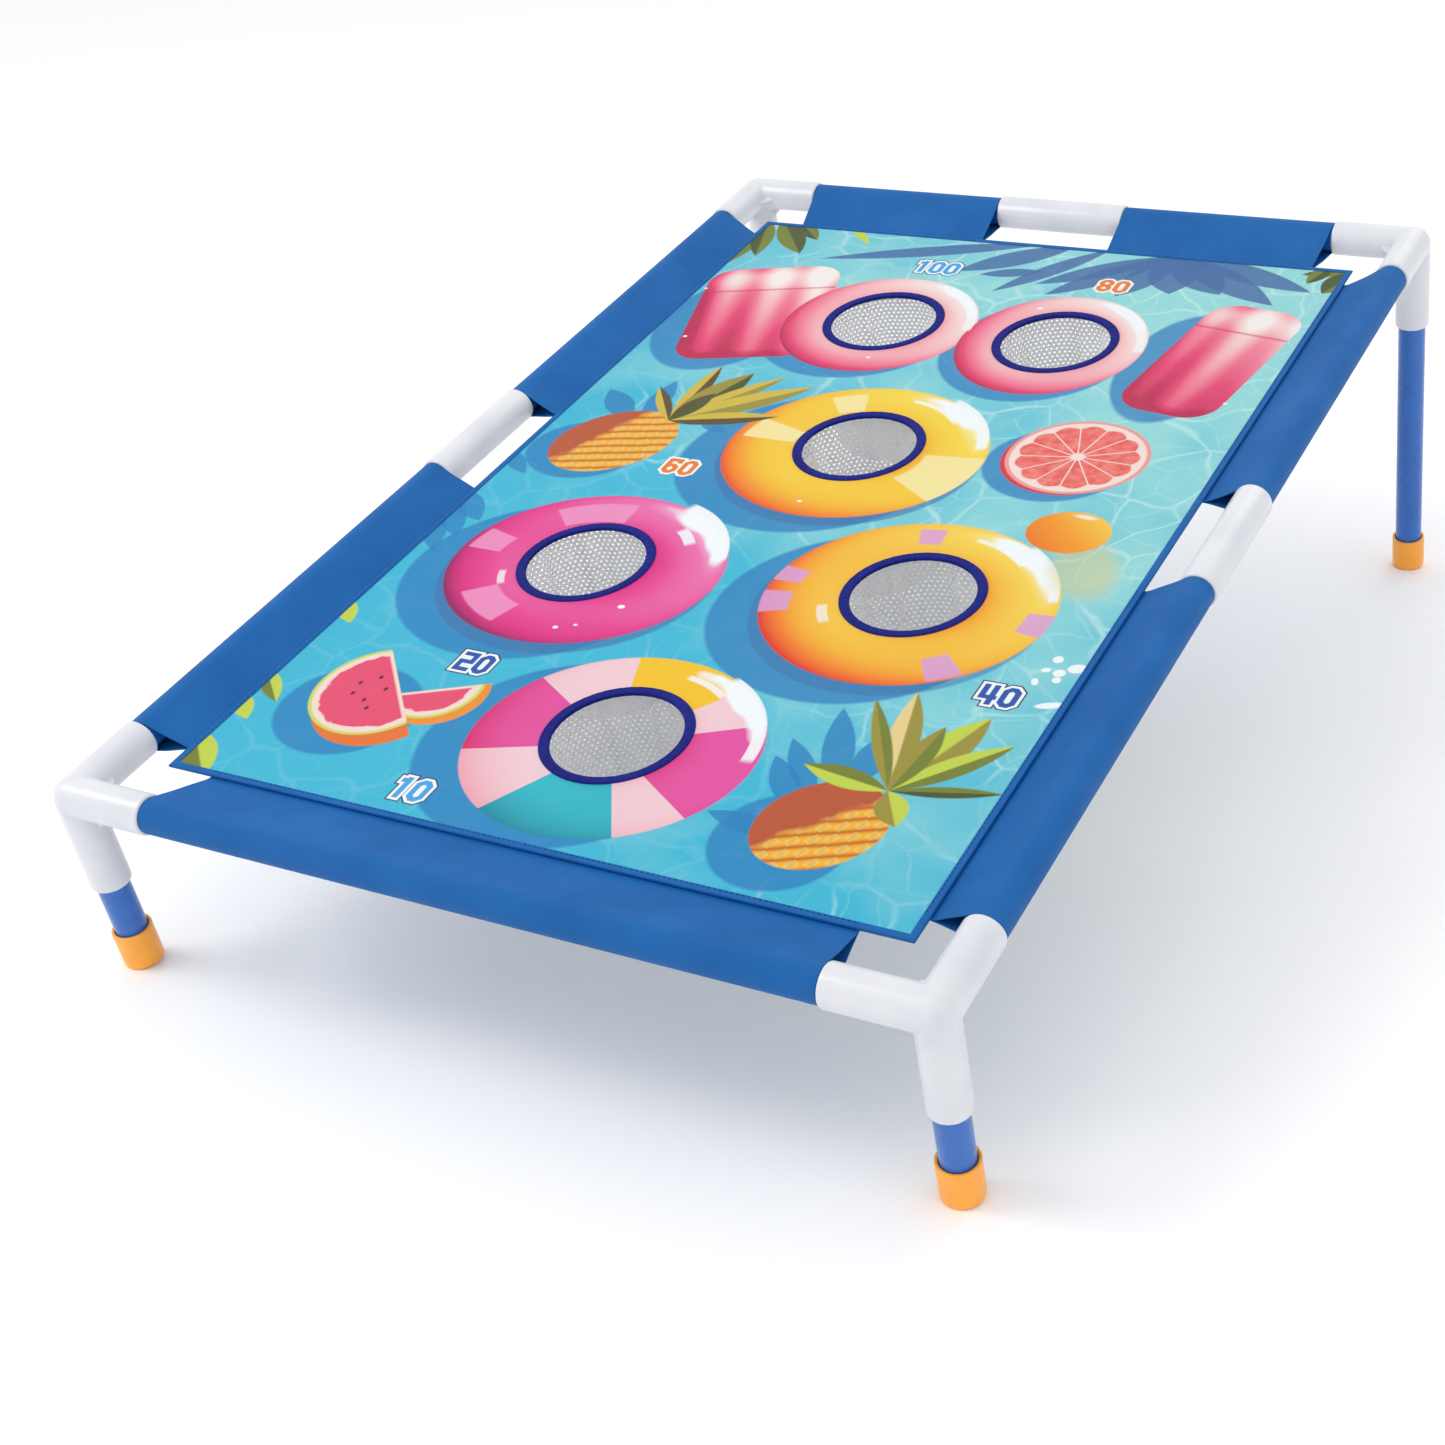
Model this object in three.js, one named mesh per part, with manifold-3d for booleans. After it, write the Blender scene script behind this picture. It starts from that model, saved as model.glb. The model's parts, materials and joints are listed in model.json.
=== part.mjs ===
// Portable cornhole board: a push-together frame of plastic tubes that stretches a printed fabric panel.
// The panel has six scoring holes, and a net pocket hangs under each of them.
//
// Millimetres, +Z up. The origin is on the ground, in the middle of the board's footprint.
// +Y points to the high rear end, and the player stands at the low front end, at -Y.
//
// Everything is drawn in the board's own plane first: X across, Y along the slope, Z square to the panel,
// with Z = 0 in the plane of the rail axes. The last lines tilt that group and stand it on the ground.
import * as THREE from "three";
import { mergeVertices } from "three/addons/utils/BufferGeometryUtils.js";
import Module from "manifold-3d";

const wasm = await Module();
wasm.setup();

// ---------------------------------------------------------------- driving dimensions

const FRAME_WIDTH = 584; // between the axes of the left and right rails
const FRAME_LENGTH = 888; // between the axes of the front and rear rails, along the slope
const FRONT_LEG = 134; // from a rail axis to the sole of a front foot, along the leg
const REAR_LEG = 294; // the same for a rear foot

const TUBE_RADIUS = 10.5;
const TUBE_WALL = 1.5;

const SOCKET_WALL = 2.2; // plastic around a tube in a corner connector or coupler
const RAIL_SOCKET_REACH = 62; // from a corner's centre to the rim of its rail sockets
const LEG_SOCKET_REACH = 69; // from a corner's centre to the rim of its leg socket
const SOCKET_DEPTH = 42; // how far a tube goes into a corner connector
const COUPLER_LENGTH = 110;
const COUPLER_STOP = 4; // width of the ring in the middle of a coupler that stops both tubes
const RIM_CHAMFER = 0.8;
const GUSSET_LEG = 9; // how far a corner's webs run along the sockets
const GUSSET_THICKNESS = 2.4;

const FOOT_WALL = 2.2;
const FOOT_HEIGHT = 27;
const FOOT_BASE = 3;
const FOOT_EDGE = 1.6; // rounding at the sole

const CLOTH = 0.8; // one layer of the sleeve cloth
const PANEL_THICKNESS = 1;
const PANEL_DROP = 4; // how far the panel's middle layer lies below the plane of the rail axes
const SIDE_INSET = 34; // from a side rail's axis to the panel's edge
const END_INSET = 46.5; // from the front or rear rail's axis to the panel's edge
const SEAM_OVERLAP = 9; // how far a sleeve runs in under the panel, where it is sewn
const TAB_LEAD = 2; // how far outside the panel's edge a sleeve's two layers lie flat on each other
const LAYER_LEAD = 3; // how much further out their inner faces part
const LAYER_GAP = 0.1; // between those inner faces where they come together
const TAPE = 0.6; // binding tape, one layer
const EDGE_TAPE_WIDTH = 5;
const HOLE_RADIUS = 41.5; // clear radius inside the bound edge of a scoring hole
const HOLE_TAPE_WIDTH = 7;

const POCKET_DEPTH = 100;
const POCKET_FLANGE = 8.5; // width of the sewn rim around a hole's binding
const POCKET_NET = 0.8;

// Outline of a hanging pocket from its floor up, as [share of its radius, share of its depth].
const POCKET_OUTLINE = [[0.72, 0], [0.9, 0.08], [0.98, 0.25], [1, 0.6], [1, 1]];

// The scoring holes, placed as shares of the panel's width and length from its middle.
const HOLES = [
  { score: 10, across: 0.01, along: -0.36 },
  { score: 20, across: -0.234, along: -0.153 },
  { score: 40, across: 0.225, along: -0.124 },
  { score: 60, across: -0.009, along: 0.083 },
  { score: 80, across: 0.145, along: 0.305 },
  { score: 100, across: -0.141, along: 0.311 },
];

// ---------------------------------------------------------------- clearances

const FIT_GAP = 0.3; // between a tube and what it slides into, and between neighbouring solids
const END_GAP = 0.5; // between a tube's end and the shoulder that stops it
const SLEEVE_END_GAP = 1.5; // between a sleeve's cut end and the rim beside it

// ---------------------------------------------------------------- sizes that follow

const SOCKET_BORE = TUBE_RADIUS + FIT_GAP;
const SOCKET_RADIUS = SOCKET_BORE + SOCKET_WALL;
const CORE_RADIUS = TUBE_RADIUS - TUBE_WALL; // shoulders stand in as far as the tube's own bore
const FOOT_RADIUS = SOCKET_BORE + FOOT_WALL;
const LEG_SOCKET_STOP = LEG_SOCKET_REACH - SOCKET_DEPTH;
const RAIL_SOCKET_STOP = RAIL_SOCKET_REACH - SOCKET_DEPTH;

const HALF_WIDTH = FRAME_WIDTH / 2;
const HALF_LENGTH = FRAME_LENGTH / 2;
const PANEL_WIDTH = FRAME_WIDTH - 2 * SIDE_INSET;
const PANEL_LENGTH = FRAME_LENGTH - 2 * END_INSET;
const PANEL_TOP = -PANEL_DROP + PANEL_THICKNESS / 2;
const PANEL_BOTTOM = PANEL_TOP - PANEL_THICKNESS;
const TAPE_TOP = PANEL_TOP + FIT_GAP + TAPE;
const TAPE_BOTTOM = PANEL_BOTTOM - FIT_GAP - TAPE;
const HOLE_TAPE_RADIUS = HOLE_RADIUS + HOLE_TAPE_WIDTH;
const POCKET_RADIUS = HOLE_TAPE_RADIUS + FIT_GAP + POCKET_FLANGE;

const ROUND = 24; // sides of a round part
const WIDE_ROUND = 36; // sides of a hole, its binding and its pocket
const SLEEVE_ROUND = 20; // steps round the tube in a sleeve

// ---------------------------------------------------------------- materials

const finish = (color, roughness) => new THREE.MeshStandardMaterial({ color, roughness, metalness: 0 });
const whitePlastic = finish(0xf1f2f4, 0.35);
const bluePlastic = finish(0x2a63bd, 0.35);
const orangePlastic = finish(0xfbae35, 0.4);
const blueCloth = finish(0x0a5ca8, 0.8);
const printedCloth = finish(0x4cc3d9, 0.7);
const navyTape = finish(0x07197e, 0.8);
const whiteNet = finish(0xededee, 0.9);

// ---------------------------------------------------------------- building blocks

// A closed solid turned from a profile of [radius, height] points, listed anticlockwise, with +Z as its axis.
function turned(profile, sides = ROUND) {
  const points = profile.map(([radius, height]) => new THREE.Vector2(radius, height));
  return new THREE.LatheGeometry(points, sides).rotateX(Math.PI / 2);
}

// A ring profile closes on itself, and a solid one starts and ends on the axis.
const ringProfile = (points) => [...points, points[0]];

function cylinder(radius, from, to) {
  return turned([[0, from], [radius, from], [radius, to], [0, to]]);
}

function extruded(shape, depth) {
  return new THREE.ExtrudeGeometry(shape, { depth, bevelEnabled: false });
}

function rectangle(width, length) {
  const shape = new THREE.Shape();
  shape.moveTo(-width / 2, -length / 2);
  shape.lineTo(width / 2, -length / 2);
  shape.lineTo(width / 2, length / 2);
  shape.lineTo(-width / 2, length / 2);
  shape.closePath();
  return shape;
}

// Only the positions are kept, so that vertices shared by two faces merge.
function solid(geometry) {
  const bare = new THREE.BufferGeometry();
  bare.setAttribute("position", geometry.getAttribute("position"));
  if (geometry.index) bare.setIndex(geometry.index);
  const merged = mergeVertices(bare, 1e-4);
  return new wasm.Manifold(new wasm.Mesh({
    numProp: 3,
    vertProperties: new Float32Array(merged.attributes.position.array),
    triVerts: new Uint32Array(merged.index.array),
  }));
}

function geometryOf(manifold) {
  const mesh = manifold.getMesh();
  const geometry = new THREE.BufferGeometry();
  geometry.setAttribute("position", new THREE.BufferAttribute(mesh.vertProperties, 3));
  geometry.setIndex(new THREE.BufferAttribute(mesh.triVerts, 1));
  geometry.computeVertexNormals();
  return geometry;
}

const joined = (geometries) => geometries.map(solid).reduce((whole, next) => whole.add(next));

// What every rail, leg and socket is laid along: a turn that takes +Z to the given direction.
const turnTo = (direction) => new THREE.Quaternion().setFromUnitVectors(new THREE.Vector3(0, 0, 1), direction);

const board = new THREE.Group();

function addPart(name, geometry, material) {
  const mesh = new THREE.Mesh(geometry, material);
  mesh.name = name;
  board.add(mesh);
  return mesh;
}

// ---------------------------------------------------------------- corner connectors

// Outside of one socket, from the corner's centre to its chamfered rim, along +Z.
function socketBody(reach) {
  return turned([
    [0, 0],
    [SOCKET_RADIUS, 0],
    [SOCKET_RADIUS, reach - RIM_CHAMFER],
    [SOCKET_RADIUS - RIM_CHAMFER, reach],
    [0, reach],
  ]);
}

// What is cut out of one socket: the tube's bore, and the narrower core that leaves a shoulder at its end.
function socketHollow(reach) {
  const past = reach + 1;
  return turned([
    [0, 0],
    [CORE_RADIUS, 0],
    [CORE_RADIUS, reach - SOCKET_DEPTH],
    [SOCKET_BORE, reach - SOCKET_DEPTH],
    [SOCKET_BORE, past],
    [0, past],
  ]);
}

// A flat web in the inside angle between two sockets, rooted in the plastic of both.
function gusset(along, across) {
  const root = SOCKET_BORE + SOCKET_WALL / 3;
  const skin = SOCKET_BORE + (2 * SOCKET_WALL) / 3;
  const tip = SOCKET_RADIUS + GUSSET_LEG;
  const corner = new THREE.Shape();
  corner.moveTo(root, root);
  corner.lineTo(tip, root);
  corner.lineTo(tip, skin);
  corner.lineTo(skin, tip);
  corner.lineTo(root, tip);
  corner.closePath();
  const web = extruded(corner, GUSSET_THICKNESS).translate(0, 0, -GUSSET_THICKNESS / 2);
  const square = new THREE.Vector3().crossVectors(along, across);
  return web.applyMatrix4(new THREE.Matrix4().makeBasis(along, across, square));
}

function cornerConnector(name, sideways, lengthways) {
  const down = new THREE.Vector3(0, 0, -1);
  const sockets = [
    { direction: new THREE.Vector3(-sideways, 0, 0), reach: RAIL_SOCKET_REACH },
    { direction: new THREE.Vector3(0, -lengthways, 0), reach: RAIL_SOCKET_REACH },
    { direction: down, reach: LEG_SOCKET_REACH },
  ];
  const laid = (make) => sockets.map((s) => make(s.reach).applyQuaternion(turnTo(s.direction)));
  const webs = [[0, 1], [1, 2], [2, 0]].map(([a, b]) => gusset(sockets[a].direction, sockets[b].direction));
  const ball = (radius) => new THREE.SphereGeometry(radius, ROUND, ROUND / 2);
  const outside = joined([...laid(socketBody), ...webs, ball(SOCKET_RADIUS)]);
  const hollow = joined([...laid(socketHollow), ball(CORE_RADIUS)]);
  const connector = addPart(name, geometryOf(outside.subtract(hollow)), whitePlastic);
  connector.position.set(sideways * HALF_WIDTH, lengthways * HALF_LENGTH, 0);
}

const CORNERS = [
  { at: "front_left", sideways: -1, lengthways: -1, leg: FRONT_LEG },
  { at: "front_right", sideways: 1, lengthways: -1, leg: FRONT_LEG },
  { at: "rear_left", sideways: -1, lengthways: 1, leg: REAR_LEG },
  { at: "rear_right", sideways: 1, lengthways: 1, leg: REAR_LEG },
];

for (const { at, sideways, lengthways } of CORNERS) {
  cornerConnector(`corner_${at}`, sideways, lengthways);
}

// ---------------------------------------------------------------- rails and couplers

const X = new THREE.Vector3(1, 0, 0);
const Y = new THREE.Vector3(0, 1, 0);

// A tube between two distances along +Z, open at both ends.
function tube(from, to) {
  const bore = TUBE_RADIUS - TUBE_WALL;
  return turned(ringProfile([[TUBE_RADIUS, from], [TUBE_RADIUS, to], [bore, to], [bore, from]]));
}

function coupler() {
  const half = COUPLER_LENGTH / 2;
  const stop = COUPLER_STOP / 2;
  return turned(ringProfile([
    [SOCKET_RADIUS - RIM_CHAMFER, -half],
    [SOCKET_RADIUS, -half + RIM_CHAMFER],
    [SOCKET_RADIUS, half - RIM_CHAMFER],
    [SOCKET_RADIUS - RIM_CHAMFER, half],
    [SOCKET_BORE, half],
    [SOCKET_BORE, stop],
    [CORE_RADIUS, stop],
    [CORE_RADIUS, -stop],
    [SOCKET_BORE, -stop],
    [SOCKET_BORE, -half],
  ]));
}

// The four sides of the frame. A side with a coupler has two tubes and two sleeves, named low end first.
const SIDES = [
  { rail: "front", along: X, inward: Y, centre: [0, -HALF_LENGTH, 0], half: HALF_WIDTH, inset: END_INSET },
  {
    rail: "rear", along: X, inward: Y.clone().negate(), centre: [0, HALF_LENGTH, 0], half: HALF_WIDTH,
    inset: END_INSET, halves: ["left", "right"],
  },
  {
    rail: "left", along: Y, inward: X, centre: [-HALF_WIDTH, 0, 0], half: HALF_LENGTH,
    inset: SIDE_INSET, halves: ["front", "rear"],
  },
  {
    rail: "right", along: Y, inward: X.clone().negate(), centre: [HALF_WIDTH, 0, 0], half: HALF_LENGTH,
    inset: SIDE_INSET, halves: ["front", "rear"],
  },
];

for (const { rail, along, centre, half, halves } of SIDES) {
  const outerEnd = half - RAIL_SOCKET_STOP - END_GAP;
  const innerEnd = COUPLER_STOP / 2 + END_GAP;
  const lay = (mesh) => {
    mesh.quaternion.copy(turnTo(along));
    mesh.position.set(...centre);
  };
  if (!halves) {
    lay(addPart(`${rail}_rail`, tube(-outerEnd, outerEnd), bluePlastic));
    continue;
  }
  lay(addPart(`${rail}_rail_${halves[0]}`, tube(-outerEnd, -innerEnd), bluePlastic));
  lay(addPart(`${rail}_rail_${halves[1]}`, tube(innerEnd, outerEnd), bluePlastic));
  lay(addPart(`coupler_${rail}`, coupler(), whitePlastic));
}

// ---------------------------------------------------------------- legs and feet

// Drawn with +Z pointing down the leg and 0 at the rail axis.
function footCap(sole) {
  const rim = sole - FOOT_HEIGHT;
  const floor = sole - FOOT_BASE;
  const edge = [Math.PI / 6, Math.PI / 3].map((turn) => {
    return [
      FOOT_RADIUS - FOOT_EDGE + FOOT_EDGE * Math.cos(turn),
      sole - FOOT_EDGE + FOOT_EDGE * Math.sin(turn),
    ];
  });
  return turned([
    [0, floor],
    [SOCKET_BORE, floor],
    [SOCKET_BORE, rim],
    [FOOT_RADIUS, rim],
    [FOOT_RADIUS, sole - FOOT_EDGE],
    ...edge,
    [FOOT_RADIUS - FOOT_EDGE, sole],
    [0, sole],
  ]);
}

for (const { at, sideways, lengthways, leg } of CORNERS) {
  const pieces = [
    addPart(`leg_tube_${at}`, tube(LEG_SOCKET_STOP + END_GAP, leg - FOOT_BASE - FIT_GAP), bluePlastic),
    addPart(`foot_${at}`, footCap(leg), orangePlastic),
  ];
  for (const piece of pieces) {
    piece.rotation.x = Math.PI;
    piece.position.set(sideways * HALF_WIDTH, lengthways * HALF_LENGTH, 0);
  }
}

// ---------------------------------------------------------------- printed panel and its edge tape

const holePlace = ({ across, along }) => [across * PANEL_WIDTH, along * PANEL_LENGTH];

function printedPanel() {
  const inTape = TAPE + FIT_GAP;
  const sheet = rectangle(PANEL_WIDTH - 2 * inTape, PANEL_LENGTH - 2 * inTape);
  for (const hole of HOLES) {
    const [x, y] = holePlace(hole);
    const cut = new THREE.Path();
    cut.absarc(x, y, HOLE_RADIUS + inTape, 0, 2 * Math.PI, true);
    sheet.holes.push(cut);
  }
  const options = { depth: PANEL_THICKNESS, bevelEnabled: false, curveSegments: WIDE_ROUND / 2 };
  return new THREE.ExtrudeGeometry(sheet, options).translate(0, 0, PANEL_BOTTOM);
}

// Tape folded over the panel's outer edge: a rectangular ring with a groove that the panel's edge sits in.
function edgeTape() {
  const ring = rectangle(PANEL_WIDTH, PANEL_LENGTH);
  ring.holes.push(rectangle(PANEL_WIDTH - 2 * EDGE_TAPE_WIDTH, PANEL_LENGTH - 2 * EDGE_TAPE_WIDTH));
  const whole = extruded(ring, TAPE_TOP - TAPE_BOTTOM).translate(0, 0, TAPE_BOTTOM);
  const groove = extruded(rectangle(PANEL_WIDTH - 2 * TAPE, PANEL_LENGTH - 2 * TAPE), PANEL_THICKNESS + 2 * FIT_GAP);
  return geometryOf(solid(whole).subtract(solid(groove.translate(0, 0, PANEL_BOTTOM - FIT_GAP))));
}

addPart("printed_panel", printedPanel(), printedCloth);
addPart("panel_edge_tape", edgeTape(), blueCloth);

// ---------------------------------------------------------------- sleeves

// Where on a circle about the origin a straight run to (x, y) leaves it: above with side 1, below with -1.
function tangentAngle(radius, x, y, side) {
  return Math.atan2(y, x) + side * Math.acos(radius / Math.hypot(x, y));
}

// Cloth in section: round a tube whose axis is the origin, then straight in to x, between two heights.
function loopAround(path, radius, x, top, bottom) {
  const above = tangentAngle(radius, x, top, 1);
  const below = tangentAngle(radius, x, bottom, -1);
  path.absarc(0, 0, radius, above, below + 2 * Math.PI, false);
  path.lineTo(x, bottom);
}

// One sleeve along +Z, with +X inward and its tab sewn under the panel's edge.
function sleeve(inset, from, to) {
  const inner = TUBE_RADIUS + FIT_GAP;
  const tabTop = TAPE_BOTTOM - FIT_GAP;
  const tabBottom = tabTop - 2 * CLOTH;
  const tabStart = inset - TAB_LEAD;
  const tabEnd = inset + SEAM_OVERLAP;
  const outline = new THREE.Shape();
  loopAround(outline, inner + CLOTH, tabStart, tabTop, tabBottom);
  outline.lineTo(tabEnd, tabBottom);
  outline.lineTo(tabEnd, tabTop);
  outline.lineTo(tabStart, tabTop);
  outline.closePath();

  const meet = tabStart - LAYER_LEAD;
  const middle = (tabTop + tabBottom) / 2;
  const channel = new THREE.Path();
  loopAround(channel, inner, meet, middle + LAYER_GAP / 2, middle - LAYER_GAP / 2);
  channel.lineTo(meet, middle + LAYER_GAP / 2);
  channel.closePath();
  outline.holes.push(channel);
  const options = { depth: to - from, bevelEnabled: false, curveSegments: SLEEVE_ROUND / 2 };
  return new THREE.ExtrudeGeometry(outline, options).translate(0, 0, from);
}

for (const { rail, along, inward, centre, half, inset, halves } of SIDES) {
  const outerEnd = half - RAIL_SOCKET_REACH - SLEEVE_END_GAP;
  const innerEnd = COUPLER_LENGTH / 2 + SLEEVE_END_GAP;
  const up = new THREE.Vector3(0, 0, 1);
  const length = new THREE.Vector3().crossVectors(inward, up);
  const flipped = length.dot(along) < 0;
  const lay = (name, from, to) => {
    const [low, high] = flipped ? [-to, -from] : [from, to];
    const mesh = addPart(name, sleeve(inset, low, high), blueCloth);
    mesh.quaternion.setFromRotationMatrix(new THREE.Matrix4().makeBasis(inward, up, length));
    mesh.position.set(...centre);
  };
  if (!halves) {
    lay(`sleeve_${rail}`, -outerEnd, outerEnd);
    continue;
  }
  lay(`sleeve_${rail}_${halves[0]}`, -outerEnd, -innerEnd);
  lay(`sleeve_${rail}_${halves[1]}`, innerEnd, outerEnd);
}

// ---------------------------------------------------------------- hole bindings and net pockets

// Tape folded over a hole's edge: a ring with a groove that the panel sits in, open outward.
function holeTape() {
  const web = HOLE_RADIUS + TAPE;
  return turned(ringProfile([
    [HOLE_TAPE_RADIUS, PANEL_TOP + FIT_GAP],
    [HOLE_TAPE_RADIUS, TAPE_TOP],
    [HOLE_RADIUS, TAPE_TOP],
    [HOLE_RADIUS, TAPE_BOTTOM],
    [HOLE_TAPE_RADIUS, TAPE_BOTTOM],
    [HOLE_TAPE_RADIUS, PANEL_BOTTOM - FIT_GAP],
    [web, PANEL_BOTTOM - FIT_GAP],
    [web, PANEL_TOP + FIT_GAP],
  ]), WIDE_ROUND);
}

// A net bag under a hole, open at the top, with a rim sewn to the panel's underside.
function pocket() {
  const top = PANEL_BOTTOM - FIT_GAP;
  const floor = top - POCKET_DEPTH;
  const mouth = HOLE_TAPE_RADIUS + FIT_GAP;
  const outside = POCKET_OUTLINE.map(([r, h]) => [POCKET_RADIUS * r, floor + POCKET_DEPTH * h]);
  const inside = POCKET_OUTLINE.slice(0, -1).reverse().map(([r, h]) => [
    POCKET_RADIUS * r - POCKET_NET,
    floor + POCKET_DEPTH * h + POCKET_NET * (1 - h),
  ]);
  return turned([
    [0, floor],
    ...outside,
    [mouth, top],
    [mouth, top - POCKET_NET],
    [POCKET_RADIUS - POCKET_NET, top - POCKET_NET],
    ...inside,
    [0, floor + POCKET_NET],
  ], WIDE_ROUND);
}

for (const hole of HOLES) {
  const [x, y] = holePlace(hole);
  addPart(`hole_tape_${hole.score}`, holeTape(), navyTape).position.set(x, y, 0);
  addPart(`pocket_${hole.score}`, pocket(), whiteNet).position.set(x, y, 0);
}

// ---------------------------------------------------------------- standing on the ground

// Both pairs of soles touch the ground when the frame leans by the difference between its legs.
board.rotation.x = Math.atan((REAR_LEG - FRONT_LEG) / FRAME_LENGTH);
const box = new THREE.Box3().setFromObject(board, true);
board.position.set(-(box.min.x + box.max.x) / 2, -(box.min.y + box.max.y) / 2, -box.min.z);

const part = new THREE.Group();
part.add(board);

export default part;
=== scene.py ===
"""Looks of a portable cornhole board: a tube frame that stretches a printed panel with six net pockets.

Metres, in the row frame. Most pieces are drawn in the board's own plane, in millimetres: x across, y up the
slope and z square to the panel, with z = 0 in the plane of the rail axes. board_place turns that into the row
frame, and every piece carries it as its own placement.
"""
import json
import math
import random

import bmesh
import bpy
from mathutils import Matrix, Vector


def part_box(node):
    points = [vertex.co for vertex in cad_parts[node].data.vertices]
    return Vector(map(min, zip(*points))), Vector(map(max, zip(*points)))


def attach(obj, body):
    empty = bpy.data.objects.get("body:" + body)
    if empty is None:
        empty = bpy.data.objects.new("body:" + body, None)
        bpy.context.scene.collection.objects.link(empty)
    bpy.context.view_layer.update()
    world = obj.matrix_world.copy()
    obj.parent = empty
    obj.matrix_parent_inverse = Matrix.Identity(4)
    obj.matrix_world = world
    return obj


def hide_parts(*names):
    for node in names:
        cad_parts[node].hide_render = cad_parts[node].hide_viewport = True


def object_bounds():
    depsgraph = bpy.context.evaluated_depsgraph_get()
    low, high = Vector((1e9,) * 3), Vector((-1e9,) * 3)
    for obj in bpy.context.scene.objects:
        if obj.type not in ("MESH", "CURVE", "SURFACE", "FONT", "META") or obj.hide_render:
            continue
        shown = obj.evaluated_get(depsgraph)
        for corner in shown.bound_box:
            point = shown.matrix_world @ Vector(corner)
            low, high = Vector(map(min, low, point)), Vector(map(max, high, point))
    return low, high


MM = 0.001

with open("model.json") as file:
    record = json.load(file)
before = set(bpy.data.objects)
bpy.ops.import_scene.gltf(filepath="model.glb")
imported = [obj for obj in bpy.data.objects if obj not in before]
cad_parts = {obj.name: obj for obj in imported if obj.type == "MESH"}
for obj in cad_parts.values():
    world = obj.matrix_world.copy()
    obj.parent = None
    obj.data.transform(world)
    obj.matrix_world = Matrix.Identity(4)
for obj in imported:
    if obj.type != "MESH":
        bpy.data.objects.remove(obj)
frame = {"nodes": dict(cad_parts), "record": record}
cad_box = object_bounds()

# ---------------------------------------------------------------- sizes, in millimetres, as in the CAD

TUBE_RADIUS = 10.5
TUBE_WALL = 1.5
FIT_GAP = 0.3
SOCKET_BORE = TUBE_RADIUS + FIT_GAP
SOCKET_RADIUS = SOCKET_BORE + 2.2
RAIL_SOCKET_REACH = 62
LEG_SOCKET_REACH = 69
SOCKET_DEPTH = 42
FOOT_RADIUS = SOCKET_BORE + 2.2
FOOT_HEIGHT = 27
FOOT_BASE = 3
FOOT_EDGE = 1.6
GUSSET_LEG = 9
GUSSET_THICKNESS = 2.4
RIM_ROUNDING = 1.3

SIDE_INSET = 34
END_INSET = 46.5
PANEL_LEVEL = -4
PANEL_THICKNESS = 1
CLOTH = 0.8
SEAM_OVERLAP = 9
EDGE_TAPE_WIDTH = 5
HOLE_RADIUS = 41.5
HOLE_TAPE_RADIUS = 48.5
POCKET_RADIUS = 57.3
POCKET_DEPTH = 100

SCORES = (10, 20, 40, 60, 80, 100)
CORNERS = {
    "front_left": (-1, -1),
    "front_right": (1, -1),
    "rear_left": (-1, 1),
    "rear_right": (1, 1),
}

# ---------------------------------------------------------------- the board's plane, read from the frame


def middle(node):
    low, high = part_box(node)
    return (Vector(low) + Vector(high)) / 2


leg_axis = Vector(frame["record"]["behaviour"]["joints"][0]["axis"])
tilt = math.atan2(leg_axis.y, -leg_axis.z)
board_middle = (middle("coupler_left") + middle("coupler_right")) / 2
board_place = Matrix.Translation(board_middle) @ Matrix.Rotation(tilt, 4, "X") @ Matrix.Scale(MM, 4)
to_board = board_place.inverted()

HALF_WIDTH = (middle("coupler_right") - board_middle).length / MM
HALF_LENGTH = (middle("coupler_rear") - board_middle).length / MM
PANEL_WIDTH = 2 * (HALF_WIDTH - SIDE_INSET)
PANEL_LENGTH = 2 * (HALF_LENGTH - END_INSET)
hole_places = {score: to_board @ middle(f"hole_tape_{score}") for score in SCORES}


def foot_drop(corner):
    """How far below the rail axes a leg's sole is, along the leg."""
    low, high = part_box(f"foot_{corner}")
    sole = Vector(((low[0] + high[0]) / 2, 0, low[2]))
    # The sole's lowest point is its front edge, one cap radius in front of the leg's axis.
    cap_edge = (FOOT_RADIUS - FOOT_EDGE) * math.sin(tilt) * MM
    side, end = CORNERS[corner]
    rail_height = (board_place @ Vector((side * HALF_WIDTH, end * HALF_LENGTH, 0))).z
    edge_lift = FOOT_EDGE * (1 - math.cos(tilt)) * MM
    return (rail_height - sole.z - cap_edge - edge_lift) / math.cos(tilt) / MM


# ---------------------------------------------------------------- camera

CAMERA_PLACE = (0.7062, -1.2815, 0.7735)
CAMERA_TURN = (62.904, 2.987, 27.370)  # degrees about X, Y and Z
CAMERA_LENS = 55.24
CAMERA_SHIFT = (-0.0895, -0.0079)

camera_data = bpy.data.cameras.new("camera")
camera_data.lens = CAMERA_LENS
camera_data.sensor_width = 36
camera_data.shift_x, camera_data.shift_y = CAMERA_SHIFT
camera = bpy.data.objects.new("camera", camera_data)
camera.location = CAMERA_PLACE
camera.rotation_euler = [math.radians(turn) for turn in CAMERA_TURN]
bpy.context.scene.collection.objects.link(camera)
bpy.context.scene.camera = camera

# ---------------------------------------------------------------- materials: a small formula writer


def srgb(red, green, blue):
    """A colour as linear light, from its usual 0 to 255 values."""
    def linear(value):
        value /= 255
        return value / 12.92 if value <= 0.04045 else ((value + 0.055) / 1.055) ** 2.4

    return (linear(red), linear(green), linear(blue), 1)


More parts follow.
